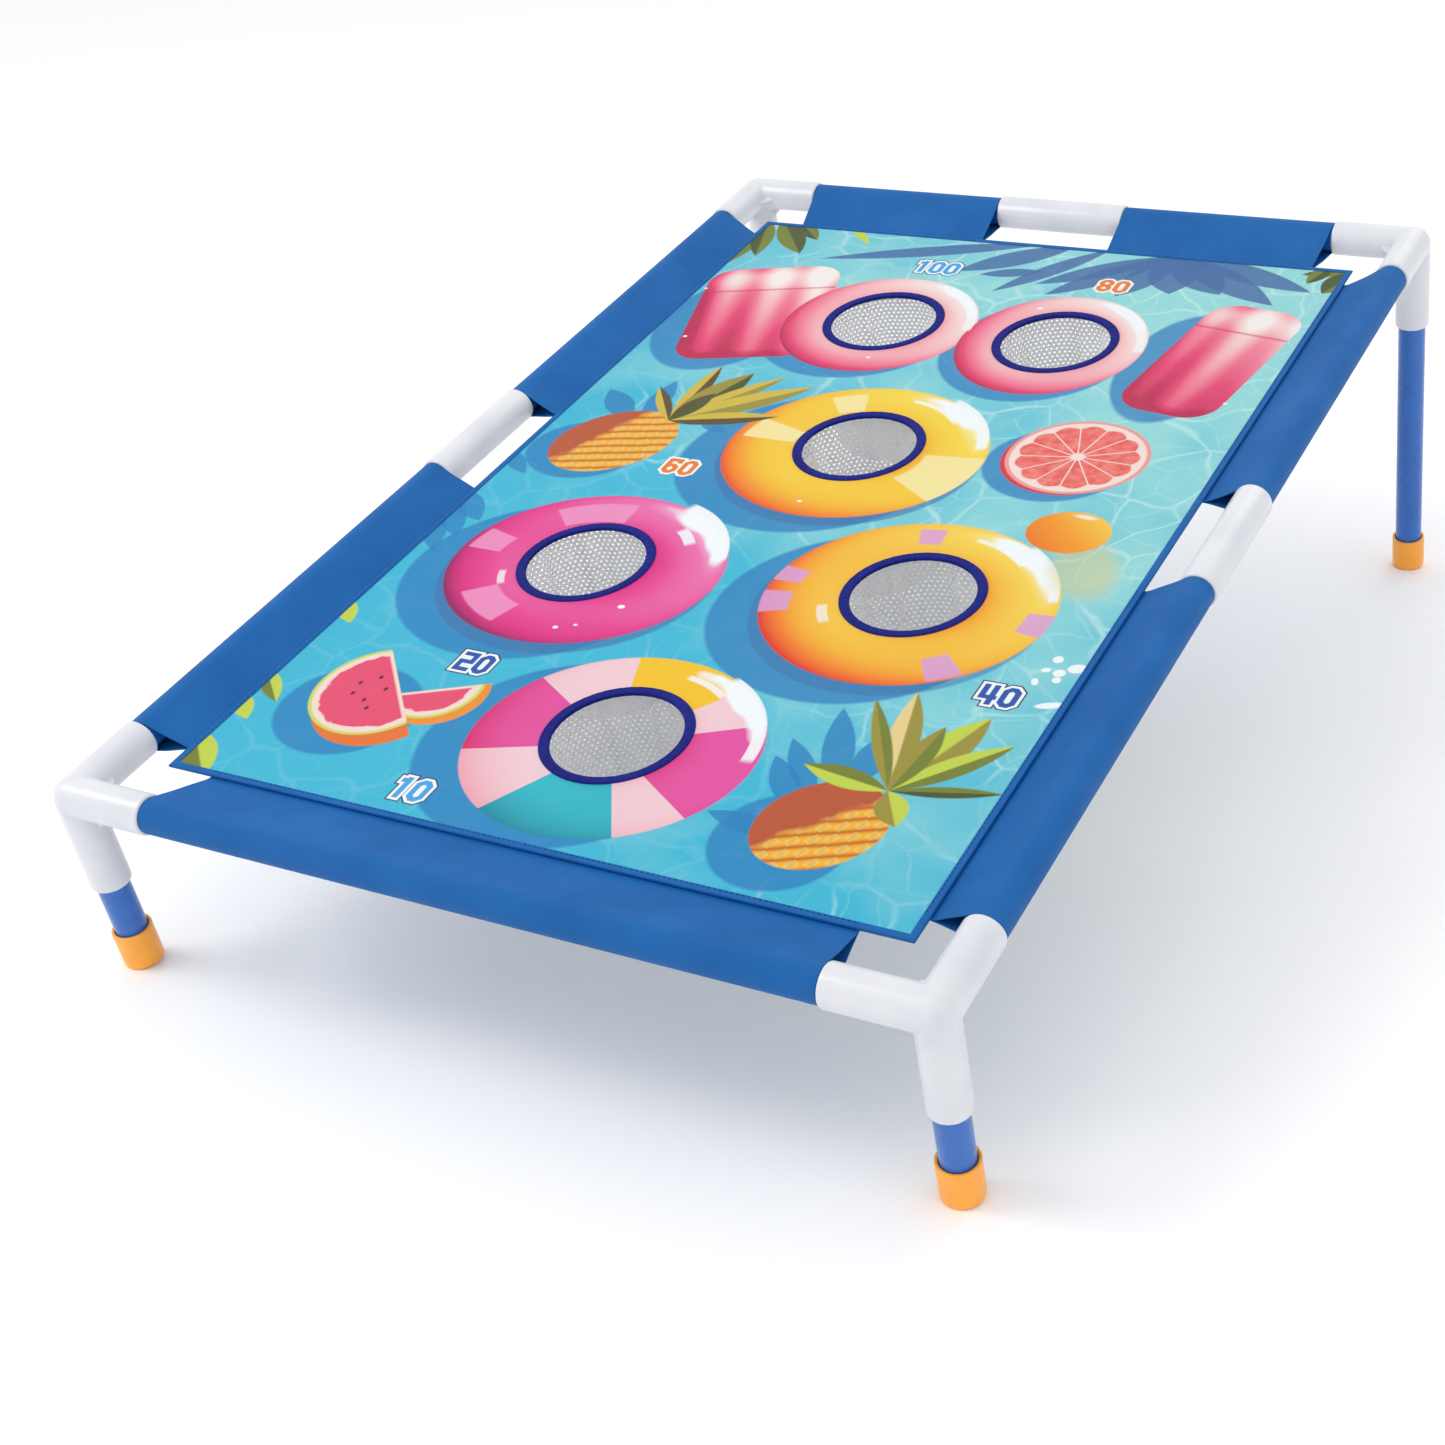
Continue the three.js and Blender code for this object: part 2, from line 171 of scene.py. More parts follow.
class Value:
    """A number, vector or colour in a node tree, so that patterns can be written as formulas."""

    def __init__(self, tree, socket):
        self.tree, self.socket = tree, socket

    def __add__(self, other):
        return self.tree.math("ADD", self, other)

    def __sub__(self, other):
        return self.tree.math("SUBTRACT", self, other)

    def __rsub__(self, other):
        return self.tree.math("SUBTRACT", other, self)

    def __mul__(self, other):
        return self.tree.math("MULTIPLY", self, other)

    def __truediv__(self, other):
        return self.tree.math("DIVIDE", self, other)

    __radd__ = __add__
    __rmul__ = __mul__


class Finish:
    """A Principled material whose inputs are written as formulas."""

    def __init__(self, name, **settings):
        self.material = bpy.data.materials.new(name)
        self.material.use_nodes = True
        self.nodes = self.material.node_tree.nodes
        self.links = self.material.node_tree.links
        self.shader = self.nodes["Principled BSDF"]
        self.bump_height = None
        self.set(**settings)

    def set(self, **settings):
        """Sets the shader's inputs by name, with _ for a space."""
        for name, value in settings.items():
            self.feed(self.shader.inputs[name.replace("_", " ")], value)

    def feed(self, socket, value):
        if isinstance(value, Value):
            self.links.new(value.socket, socket)
        else:
            socket.default_value = value

    def node(self, kind, feeds=(), **settings):
        node = self.nodes.new("ShaderNode" + kind)
        for name, value in settings.items():
            setattr(node, name, value)
        for key, value in dict(feeds).items():
            self.feed(node.inputs[key], value)
        return node

    def math(self, operation, *values, clamp=False):
        node = self.node("Math", enumerate(values), operation=operation, use_clamp=clamp)
        return Value(self, node.outputs[0])

    def vector(self, operation, *values):
        node = self.node("VectorMath", enumerate(values), operation=operation)
        scalar = operation in ("LENGTH", "DISTANCE", "DOT_PRODUCT")
        return Value(self, node.outputs["Value" if scalar else "Vector"])

    def split(self, vector):
        node = self.node("SeparateXYZ", {0: vector})
        return [Value(self, socket) for socket in node.outputs]

    def join(self, x, y, z=0.0):
        return Value(self, self.node("CombineXYZ", {0: x, 1: y, 2: z}).outputs[0])

    def place(self):
        """Where on the piece, in millimetres, in the piece's own axes."""
        return Value(self, self.node("TexCoord").outputs["Object"])

    def noise(self, at, scale, detail=2.0, roughness=0.5):
        feeds = {"Vector": at, "Scale": scale, "Detail": detail, "Roughness": roughness}
        return Value(self, self.node("TexNoise", feeds).outputs["Fac"])

    def ramp(self, value, low, high, start=0.0, end=1.0):
        """A straight ramp from start at low to end at high, held level beyond."""
        node = self.node("MapRange", enumerate((value, low, high, start, end)))
        return Value(self, node.outputs[0])

    def mix(self, share, below, above):
        node = self.node("Mix", data_type="RGBA")
        self.feed(node.inputs["Factor"], share)
        for name, value in (("A", below), ("B", above)):
            socket = [s for s in node.inputs if s.name == name and s.type == "RGBA"][0]
            self.feed(socket, value)
        return Value(self, [s for s in node.outputs if s.type == "RGBA"][0])

    def bump(self, height, depth):
        """Bumps of the given depth in millimetres, one on top of the other."""
        node = self.node("Bump", {"Strength": 1.0, "Distance": depth * MM, "Height": height})
        if self.bump_height:
            self.links.new(self.bump_height, node.inputs["Normal"])
        self.bump_height = node.outputs[0]
        self.links.new(self.bump_height, self.shader.inputs["Normal"])


def plastic(name, colour, tint, roughness):
    """Moulded plastic: a faint cloudiness, fine scuffs and a soft orange-peel surface."""
    finish = Finish(name, Specular_IOR_Level=0.5, Coat_Weight=0.25, Coat_Roughness=0.12)
    at = finish.place()
    cloud = finish.noise(at, 0.03, 3.0)
    finish.set(Base_Color=finish.mix(finish.ramp(cloud, 0.35, 0.7), colour, tint))
    scuff = finish.noise(finish.vector("MULTIPLY", at, (1.0, 1.0, 0.25)), 0.9, 4.0, 0.7)
    finish.set(Roughness=finish.ramp(scuff, 0.3, 0.75, roughness * 0.85, roughness * 1.25))
    finish.bump(finish.noise(at, 0.35, 2.0), 0.04)
    return finish.material


def woven(name, colour, tint, pitch, roughness=0.75, depth=0.08, sheen=0.05):
    """Plain-woven cloth: two sets of threads, slight colour drift, and sheen."""
    finish = Finish(name, Specular_IOR_Level=0.25, Sheen_Weight=sheen, Sheen_Roughness=0.4)
    at = finish.place()
    x, y, z = finish.split(at)
    across = finish.math("SINE", (x + z) * (2 * math.pi / pitch))
    along = finish.math("SINE", (y + z) * (2 * math.pi / pitch))
    weave = across * along
    drift = finish.noise(at, 0.02, 4.0)
    base = finish.mix(finish.ramp(drift, 0.3, 0.7), colour, tint)
    thread = finish.ramp(weave, -1.0, 1.0, 0.0, 0.12)
    darker = tuple(c * 0.6 for c in colour[:3]) + (1,)
    finish.set(Base_Color=finish.mix(thread, base, darker))
    finish.set(Roughness=finish.ramp(drift, 0.3, 0.7, roughness - 0.06, roughness + 0.06))
    finish.bump(weave, depth)
    finish.bump(finish.noise(at, 0.05, 3.0), 0.25)
    return finish.material


white_plastic = plastic("white_plastic", srgb(216, 218, 223), srgb(206, 209, 216), 0.3)
blue_plastic = plastic("blue_plastic", srgb(26, 100, 186), srgb(22, 92, 176), 0.26)
orange_plastic = plastic("orange_plastic", srgb(253, 172, 52), srgb(248, 158, 38), 0.36)
blue_cloth = woven("blue_cloth", srgb(0, 98, 172), srgb(0, 90, 162), 0.9, 0.6, sheen=0.0)
navy_cloth = woven("navy_cloth", srgb(0, 18, 128), srgb(0, 14, 114), 1.1, 0.8, 0.12, 0.02)
blue_thread = woven("blue_thread", srgb(0, 70, 140), srgb(0, 62, 130), 0.4)
navy_thread = woven("navy_thread", srgb(10, 34, 140), srgb(0, 22, 118), 0.4)

# ---------------------------------------------------------------- meshes


def piece(name, mesh, material, body, replaces=(), place=board_place):
    """Adds a mesh as a piece of the object. Its points are in the board's millimetres."""
    thing = bpy.data.objects.new(name, mesh)
    bpy.context.scene.collection.objects.link(thing)
    thing.matrix_world = place
    mesh.materials.clear()
    mesh.materials.append(material)
    for polygon in mesh.polygons:
        polygon.use_smooth = True
    mesh.set_sharp_from_angle(angle=math.radians(40))
    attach(thing, body)
    if replaces:
        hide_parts(*replaces)
    return thing


def mesh_of(points, faces, name="mesh"):
    mesh = bpy.data.meshes.new(name)
    mesh.from_pydata([tuple(p) for p in points], [], faces)
    mesh.validate()
    made = bmesh.new()
    made.from_mesh(mesh)
    bmesh.ops.remove_doubles(made, verts=made.verts, dist=1e-4)
    bmesh.ops.recalc_face_normals(made, faces=made.faces)
    made.to_mesh(mesh)
    made.free()
    return mesh


def turned(profile, sides=64, closed=False):
    """Points and faces of a profile of (radius, height) turned about Z. closed joins its two ends."""
    points, faces = [], []
    for step in range(sides):
        turn = 2 * math.pi * step / sides
        points += [(r * math.cos(turn), r * math.sin(turn), h) for r, h in profile]
    count = len(profile)
    rows = count if closed else count - 1
    for step in range(sides):
        here, there = step * count, (step + 1) % sides * count
        for row in range(rows):
            after = (row + 1) % count
            faces.append((here + row, there + row, there + after, here + after))
    return points, faces


def rounded(corner, radius, start, end, steps=5):
    """Points of a quarter round of the given radius about a corner's centre, between two angles in degrees."""
    x, y = corner
    turns = [math.radians(start + (end - start) * i / steps) for i in range(steps + 1)]
    return [(x + radius * math.cos(t), y + radius * math.sin(t)) for t in turns]


def laid(direction, place=(0, 0, 0)):
    """A placement that takes +Z to a direction."""
    turn = Vector((0, 0, 1)).rotation_difference(Vector(direction)).to_matrix().to_4x4()
    return Matrix.Translation(Vector(place)) @ turn


def join_meshes(*parts):
    """One list of points and faces from several (points, faces, placement)."""
    points, faces = [], []
    for some_points, some_faces, place in parts:
        base = len(points)
        points += [place @ Vector(p) for p in some_points]
        faces += [tuple(base + i for i in face) for face in some_faces]
    return points, faces


def applied(thing, *modifiers):
    """The object's mesh with the modifiers' result, given as (type, settings)."""
    for kind, settings in modifiers:
        modifier = thing.modifiers.new(kind, kind)
        for name, value in settings.items():
            setattr(modifier, name, value)
    graph = bpy.context.evaluated_depsgraph_get()
    mesh = bpy.data.meshes.new_from_object(thing.evaluated_get(graph))
    thing.modifiers.clear()
    return mesh


def scratch(mesh):
    thing = bpy.data.objects.new("scratch", mesh)
    bpy.context.scene.collection.objects.link(thing)
    return thing


# ---------------------------------------------------------------- connectors, couplers, legs and feet

CORE_RADIUS = TUBE_RADIUS - TUBE_WALL
REMESH_VOXEL = 0.75


def socket_outside(reach):
    rim = rounded((SOCKET_RADIUS - RIM_ROUNDING, reach - RIM_ROUNDING), RIM_ROUNDING, 0, 90)
    return turned([(0, 0), (SOCKET_RADIUS, 0), *rim, (0, reach)], 72)


def socket_hollow(reach):
    stop = reach - SOCKET_DEPTH
    lead = [(SOCKET_BORE, reach - 0.6), (SOCKET_BORE + 0.7, reach + 0.1), (SOCKET_BORE + 0.7, reach + 1)]
    profile = [(0, -2), (CORE_RADIUS, -2), (CORE_RADIUS, stop), (SOCKET_BORE, stop), *lead, (0, reach + 1)]
    return turned(profile, 64)


def gusset(first, second):
    """A thin web in the inside angle between two sockets, as a prism."""
    root, skin, tip = SOCKET_RADIUS - 3, SOCKET_RADIUS - 0.6, SOCKET_RADIUS + GUSSET_LEG
    outline = [(root, root), (tip, root), (tip, skin), (skin, tip), (root, tip)]
    normal = Vector(first).cross(Vector(second))
    half = normal * (GUSSET_THICKNESS / 2)
    sides = [
        [Vector(first) * a + Vector(second) * b + offset for a, b in outline] for offset in (-half, half)
    ]
    count = len(outline)
    faces = [tuple(range(count)), tuple(range(2 * count - 1, count - 1, -1))]
    faces += [(i, (i + 1) % count, count + (i + 1) % count, count + i) for i in range(count)]
    return sides[0] + sides[1], faces, Matrix()


SLIVER = 0.02


def without_slivers(mesh):
    """Removes what cutting leaves behind: edges too short to see, and flaps of two faces back to back."""
    made = bmesh.new()
    made.from_mesh(mesh)
    bmesh.ops.triangulate(made, faces=made.faces)
    bmesh.ops.remove_doubles(made, verts=made.verts, dist=SLIVER)
    bmesh.ops.dissolve_degenerate(made, dist=SLIVER, edges=made.edges)
    bmesh.ops.triangulate(made, faces=made.faces)
    twins = {}
    for face in made.faces:
        twins.setdefault(frozenset(face.verts), []).append(face)
    flaps = [face for pair in twins.values() if len(pair) == 2 for face in pair]
    bmesh.ops.delete(made, geom=flaps, context="FACES")
    made.to_mesh(mesh)
    made.free()


def connector_mesh():
    """The front left connector, about its own centre. The others are its mirror images."""
    arms = [((1, 0, 0), RAIL_SOCKET_REACH), ((0, 1, 0), RAIL_SOCKET_REACH), ((0, 0, -1), LEG_SOCKET_REACH)]
    ball = bmesh.new()
    bmesh.ops.create_uvsphere(ball, u_segments=48, v_segments=32, radius=SOCKET_RADIUS)
    ball_mesh = bpy.data.meshes.new("ball")
    ball.to_mesh(ball_mesh)
    ball.free()
    ball_points = [v.co.copy() for v in ball_mesh.vertices]
    ball_part = (ball_points, [tuple(p.vertices) for p in ball_mesh.polygons], Matrix())
    webs = [gusset(arms[a][0], arms[b][0]) for a, b in ((0, 1), (1, 2), (2, 0))]
    outside = [(*socket_outside(reach), laid(way)) for way, reach in arms]
    solid = scratch(mesh_of(*join_meshes(*outside, ball_part, *webs)))
    solid.data = applied(
        solid,
        ("REMESH", {"mode": "VOXEL", "voxel_size": REMESH_VOXEL}),
        ("SMOOTH", {"factor": 0.5, "iterations": 7}),
    )
    hollow = scratch(mesh_of(*join_meshes(*[(*socket_hollow(reach), laid(way)) for way, reach in arms])))
    cut = {"object": hollow, "operation": "DIFFERENCE", "solver": "EXACT", "use_self": True}
    mesh = applied(solid, ("BOOLEAN", cut))
    for thing in (solid, hollow):
        bpy.data.objects.remove(thing)
    without_slivers(mesh)
    return mesh


def connector(corner, front_left):
    side, end = CORNERS[corner]
    mesh = front_left.copy()
    mesh.transform(Matrix.Diagonal((-side, -end, 1, 1)))
    if side * end < 0:
        mesh.flip_normals()
    place = board_place @ Matrix.Translation((side * HALF_WIDTH, end * HALF_LENGTH, 0))
    return piece(
        f"connector_{corner}", mesh, white_plastic, "board", [f"corner_{corner}"], place,
    )


COUPLER_HALF = 55


def coupler(where, way, place):
    rim = rounded((SOCKET_RADIUS - RIM_ROUNDING, COUPLER_HALF - RIM_ROUNDING), RIM_ROUNDING, 0, 90)
    upper = [*rim, (SOCKET_BORE + 0.5, COUPLER_HALF), (SOCKET_BORE, COUPLER_HALF - 0.8), (SOCKET_BORE, 2),
             (CORE_RADIUS, 2)]
    lower = [(r, -h) for r, h in reversed(upper)]
    mesh = mesh_of(*turned(upper + lower, 96, closed=True))
    placed = board_place @ laid(way, place)
    replaced = [f"coupler_{where}"]
    return piece(f"coupler_sleeve_{where}", mesh, white_plastic, "board", replaced, placed)


def tube_profile(start, end):
    chamfer = 0.4
    bore = TUBE_RADIUS - TUBE_WALL
    return [
        (TUBE_RADIUS - chamfer, start), (TUBE_RADIUS, start + chamfer), (TUBE_RADIUS, end - chamfer),
        (TUBE_RADIUS - chamfer, end), (bore + chamfer, end), (bore, end - chamfer), (bore, start + chamfer),
        (bore + chamfer, start),
    ]


def leg(corner):
    side, end = CORNERS[corner]
    drop = foot_drop(corner)
    down = board_place @ laid((0, 0, -1), (side * HALF_WIDTH, end * HALF_LENGTH, 0))
    body = f"leg_{corner}"
    start = LEG_SOCKET_REACH - SOCKET_DEPTH + 0.5
    tube = mesh_of(*turned(tube_profile(start, drop - FOOT_BASE - FIT_GAP), 96, closed=True))
    piece(f"leg_{corner}_tube", tube, blue_plastic, body, [f"leg_tube_{corner}"], down)

    rim = drop - FOOT_HEIGHT
    lip = 0.7
    edge = FOOT_EDGE
    profile = [
        (0, drop - FOOT_BASE),
        (SOCKET_BORE, drop - FOOT_BASE),
        (SOCKET_BORE, rim + 0.6),
        (SOCKET_BORE + 0.5, rim),
        *rounded((FOOT_RADIUS - lip, rim + lip), lip, -90, 0),
        *rounded((FOOT_RADIUS - edge, drop - edge), edge, 0, 90),
        (7.5, drop), (7.0, drop - 0.6), (5.5, drop - 0.6), (5.0, drop), (0, drop),
    ]
    cap = mesh_of(*turned(profile, 96))
    piece(f"foot_cap_{corner}", cap, orange_plastic, body, [f"foot_{corner}"], down)


front_left = connector_mesh()
for corner in CORNERS:
    connector(corner, front_left)
    leg(corner)
coupler("left", (0, 1, 0), (-HALF_WIDTH, 0, 0))
coupler("right", (0, 1, 0), (HALF_WIDTH, 0, 0))
coupler("rear", (1, 0, 0), (0, HALF_LENGTH, 0))

for name, thing in frame["nodes"].items():
    if "_rail" in name:
        thing.data.materials.clear()
        thing.data.materials.append(blue_plastic)

# ---------------------------------------------------------------- sleeves

SLEEVE_END_LEAN = 5  # how much shorter a sleeve is at its seam than at its rail
TAB_LEVEL = PANEL_LEVEL - PANEL_THICKNESS / 2 - 0.9 - CLOTH


def tangent_angle(radius, x, y, side):
    return math.atan2(y, x) + side * math.acos(radius / math.hypot(x, y))


def sleeve_section(inset):
    """Points of the cloth's middle layer from the seam over the tube and back: x inward, y up."""
    radius = TUBE_RADIUS + FIT_GAP + CLOTH / 2
    seam, lead = inset + SEAM_OVERLAP, inset - 1.5
    upper, lower = TAB_LEVEL + CLOTH / 2 + 0.05, TAB_LEVEL - CLOTH / 2 - 0.05
    above = tangent_angle(radius, lead, upper, 1)
    below = tangent_angle(radius, lead, lower, -1) + 2 * math.pi
    points = [(seam, upper), (seam - 3, upper), (seam - 6, upper), (lead, upper)]
    start = Vector((radius * math.cos(above), radius * math.sin(above)))
    run = Vector((lead, upper))
    points += [tuple(run.lerp(start, i / 6)) for i in range(1, 6)]
    steps = 20
    for i in range(steps + 1):
        turn = above + (below - above) * i / steps
        points.append((radius * math.cos(turn), radius * math.sin(turn)))
    end = Vector(points[-1])
    run = Vector((lead, lower))
    points += [tuple(end.lerp(run, i / 6)) for i in range(1, 6)]
    points += [(lead, lower), (seam - 6, lower), (seam - 3, lower), (seam, lower)]
    return points


def sleeve(name, node, along, inward, centre, start, end, inset, leans):
    """One sleeve between two distances along its side. leans says which ends slant (start, end)."""
    section = sleeve_section(inset)
    along, inward = Vector(along), Vector(inward)
    up = Vector((0, 0, 1))
    draw = random.Random(name)
    phase = [draw.uniform(0, 2 * math.pi) for _ in range(4)]
    rows = max(12, round((end - start) / 6))
    points, faces = [], []
    for row in range(rows + 1):
        share = row / rows
        for column, (x, y) in enumerate(section):
            low = start + leans[0] * SLEEVE_END_LEAN * max(0, x) / inset
            high = end - leans[1] * SLEEVE_END_LEAN * max(0, x) / inset
            s = low + (high - low) * share
            # Slack ripples in the flat runs, none on the tube or at the seam.
            flat = math.sin(math.pi * min(max((x - 6) / (inset - 8), 0), 1))
            near_end = math.exp(-min(s - start, end - s) / 18)
            ripple = 0.25 * math.sin(s / 31 + phase[0]) + 0.2 * math.sin(s / 17 + x / 9 + phase[1])
            ripple += 0.5 * near_end * math.sin(x / 7 + phase[2])
            points.append(Vector(centre) + along * s + inward * x + up * (y + ripple * flat))
    count = len(section)
    for row in range(rows):
        for column in range(count - 1):
            a = row * count + column
            faces.append((a, a + 1, a + count + 1, a + count))
    flat_sheet = scratch(mesh_of(points, faces))
    mesh = applied(
        flat_sheet,
        ("SUBSURF", {"levels": 1, "render_levels": 1}),
        ("SOLIDIFY", {"thickness": CLOTH, "offset": 0, "use_rim": True}),
    )
    bpy.data.objects.remove(flat_sheet)
    thing = piece(name, mesh, blue_cloth, "board", [node])
    (end - start) * MM
    return thing


RIM_GAP = 0.5  # between a sleeve's end and the rim beside it

SIDES = {
    "front": ((1, 0, 0), (0, 1, 0), (0, -HALF_LENGTH, 0), HALF_WIDTH, END_INSET, None),
    "rear": ((1, 0, 0), (0, -1, 0), (0, HALF_LENGTH, 0), HALF_WIDTH, END_INSET, ("left", "right")),
    "left": ((0, 1, 0), (1, 0, 0), (-HALF_WIDTH, 0, 0), HALF_LENGTH, SIDE_INSET, ("front", "rear")),
    "right": ((0, 1, 0), (-1, 0, 0), (HALF_WIDTH, 0, 0), HALF_LENGTH, SIDE_INSET, ("front", "rear")),
}

seams = []  # where a sleeve is sewn to the panel: (along, inward, centre, start, end, inset)
for rail, (along, inward, centre, half, inset, halves) in SIDES.items():
    far = half - RAIL_SOCKET_REACH - RIM_GAP
    near = COUPLER_HALF + RIM_GAP
    if halves:
        spans = [(halves[0], -far, -near, (1, 0)), (halves[1], near, far, (0, 1))]
    else:
        spans = [(None, -far, far, (1, 1))]
    for half_name, start, end, leans in spans:
        tail = f"{rail}_{half_name}" if half_name else rail
        sleeve(f"rail_sleeve_{tail}", f"sleeve_{tail}", along, inward, centre, start, end, inset, leans)
        lean = SLEEVE_END_LEAN
        seams.append((along, inward, centre, start + leans[0] * lean, end - leans[1] * lean, inset))

# ---------------------------------------------------------------- printed panel, edge tape and hole tapes


def panel_height(x, y):
    """The stretched panel's small sag, in millimetres: nothing at its edges."""
    u = 1 - (2 * x / PANEL_WIDTH) ** 2
    v = 1 - (2 * y / PANEL_LENGTH) ** 2
    sag = -1.2 * max(u, 0) * max(v, 0)
    ripple = 0.12 * math.sin(x / 37 + 1.3) * math.sin(y / 53 + 0.4)
    return sag + ripple * min(1, 6 * max(u, 0)) * min(1, 6 * max(v, 0))


def panel_mesh():
    """A flat sheet with round holes, finely divided, and a thickness."""
    edge = 1.0
    half_w, half_l = PANEL_WIDTH / 2 - edge, PANEL_LENGTH / 2 - edge
    made = bmesh.new()
    ring_steps = 72
    outline = [(-half_w, -half_l), (half_w, -half_l), (half_w, half_l), (-half_w, half_l)]
    edges = []

    def loop(points):
        corners = [made.verts.new((x, y, 0)) for x, y in points]
        edges.extend(made.edges.new((a, b)) for a, b in zip(corners, corners[1:] + corners[:1]))

    divided = []
    for (x0, y0), (x1, y1) in zip(outline, outline[1:] + outline[:1]):
        steps = round(math.hypot(x1 - x0, y1 - y0) / 12)
        divided += [(x0 + (x1 - x0) * i / steps, y0 + (y1 - y0) * i / steps) for i in range(steps)]
    loop(divided)
    for spot in hole_places.values():
        turns = [2 * math.pi * i / ring_steps for i in range(ring_steps)]
        radius = HOLE_RADIUS + edge
        loop([(spot.x + radius * math.cos(t), spot.y + radius * math.sin(t)) for t in turns])
    bmesh.ops.triangle_fill(made, use_beauty=True, use_dissolve=False, edges=edges)
    for _ in range(3):
        long_edges = [e for e in made.edges if e.calc_length() > 14]
        bmesh.ops.subdivide_edges(made, edges=long_edges, cuts=1)
        bmesh.ops.triangulate(made, faces=made.faces)
        bmesh.ops.beautify_fill(made, faces=made.faces, edges=[e for e in made.edges if not e.is_boundary])
    for vertex in made.verts:
        vertex.co.z = PANEL_LEVEL + panel_height(vertex.co.x, vertex.co.y)
    mesh = bpy.data.meshes.new("panel")
    made.to_mesh(mesh)
    made.free()
    flat_sheet = scratch(mesh)
    solid = applied(flat_sheet, ("SOLIDIFY", {"thickness": PANEL_THICKNESS, "offset": 0, "use_rim": True}))
    bpy.data.objects.remove(flat_sheet)
    return solid


def edge_tape_mesh():
    """Tape folded over the panel's edge: a flat U in section, mitred at the corners."""
    proud = PANEL_THICKNESS / 2 + 0.75
    inner = EDGE_TAPE_WIDTH
    # (distance in from the edge, height), round the tape's section.
    section = [
        (inner, 0.62), (inner - 0.3, proud - 0.1), (inner - 1.0, proud), (1.2, proud), (0.4, proud - 0.25),
        (0.0, 0.35), (0.0, -0.35), (0.4, -proud + 0.25), (1.2, -proud), (inner - 1.0, -proud),
        (inner - 0.3, -proud + 0.1), (inner, -0.62), (1.2, -0.62), (1.2, 0.62),
    ]
    corners = [(-1, -1), (1, -1), (1, 1), (-1, 1)]
    points, faces = [], []
    rings = []
    steps = 48
    for index in range(4):
        a, b = corners[index], corners[(index + 1) % 4]
        for step in range(steps):
            share = step / steps
            ring = []
            for inwards, height in section:
                half_w, half_l = PANEL_WIDTH / 2 - inwards, PANEL_LENGTH / 2 - inwards
                x = (a[0] + (b[0] - a[0]) * share) * half_w
                y = (a[1] + (b[1] - a[1]) * share) * half_l
                ring.append(len(points))
                points.append((x, y, PANEL_LEVEL + height + panel_height(x, y)))
            rings.append(ring)
    count = len(section)
    for ring, following in zip(rings, rings[1:] + rings[:1]):
        for i in range(count):
            j = (i + 1) % count
            faces.append((ring[i], following[i], following[j], ring[j]))
    return mesh_of(points, faces)


def hole_tape_mesh(spot, seed):
    """Bias tape folded over a hole's edge, with the small puckers that sewing leaves."""
    draw = random.Random(seed)
    phase = draw.uniform(0, 6)
    proud = PANEL_THICKNESS / 2 + 0.85
    outer, inner = HOLE_TAPE_RADIUS, HOLE_RADIUS
    section = [
        (outer, 0.6), (outer - 0.15, proud - 0.25), (outer - 0.6, proud), (inner + 1.4, proud + 0.05),
        (inner + 0.5, proud - 0.2), (inner, 0.4), (inner, -0.4), (inner + 0.5, -proud + 0.2),
        (inner + 1.4, -proud), (outer - 0.6, -proud), (outer - 0.15, -proud + 0.25), (outer, -0.6),
        (inner + 1.2, -0.6), (inner + 1.2, 0.6),
    ]
    points, faces = [], []
    steps, count = 180, len(section)
    for step in range(steps):
        turn = 2 * math.pi * step / steps
        pucker = 0.06 * math.sin(41 * turn + phase) + 0.04 * math.sin(67 * turn)
        for radius, height in section:
            x = spot.x + radius * math.cos(turn)
            y = spot.y + radius * math.sin(turn)
            lift = height * (1 + pucker)
            points.append((x, y, PANEL_LEVEL + panel_height(x, y) + lift))
    for step in range(steps):
        here, there = step * count, (step + 1) % steps * count
        for i in range(count):
            j = (i + 1) % count
            faces.append((here + i, there + i, there + j, here + j))
    return mesh_of(points, faces)


def stitches(places, length=2.6, width=0.55):
    """Short thread stitches lying on cloth. places are (middle, direction along, direction up)."""
    sides, rows = 6, 5
    points, faces = [], []
    for spot, way, up in places:
        way, up = Vector(way).normalized(), Vector(up).normalized()
        across = way.cross(up)
        base = len(points)
        for row in range(rows):
            share = row / (rows - 1)
            along = (share - 0.5) * length
            bulge = math.sin(math.pi * share)
            radius = width / 2 * (0.35 + 0.65 * bulge)
            middle_of_row = Vector(spot) + way * along + up * (0.25 * bulge - 0.12)
            for side in range(sides):
                turn = 2 * math.pi * side / sides
                points.append(middle_of_row + across * (radius * math.cos(turn)) + up * (radius * math.sin(turn)))
        for row in range(rows - 1):
            for side in range(sides):
                a, b = base + row * sides + side, base + row * sides + (side + 1) % sides
                faces.append((a, b, b + sides, a + sides))
        faces.append(tuple(base + side for side in reversed(range(sides))))
        faces.append(tuple(base + (rows - 1) * sides + side for side in range(sides)))
    mesh = bpy.data.meshes.new("stitches")
    mesh.from_pydata([tuple(p) for p in points], [], faces)
    return mesh


STITCH_PITCH = 3.6
SEAM_END = 3  # from a seam's end to its first stitch

UP = (0, 0, 1)
piece("panel_binding", edge_tape_mesh(), blue_cloth, "board", ["panel_edge_tape"])
printed = panel_mesh()

seam_places = []
for along, inward, centre, start, end, inset in seams:
    along, inward, centre = Vector(along), Vector(inward), Vector(centre)
    count = int((end - start - 2 * SEAM_END) / STITCH_PITCH)
    for i in range(count + 1):
        spot = centre + along * (start + SEAM_END + i * STITCH_PITCH) + inward * (inset + EDGE_TAPE_WIDTH - 1.4)
        height = PANEL_LEVEL + panel_height(spot.x, spot.y) + PANEL_THICKNESS / 2 + 0.75
        seam_places.append(((spot.x, spot.y, height), along, UP))
piece("panel_seam_stitching", stitches(seam_places), blue_thread, "board")

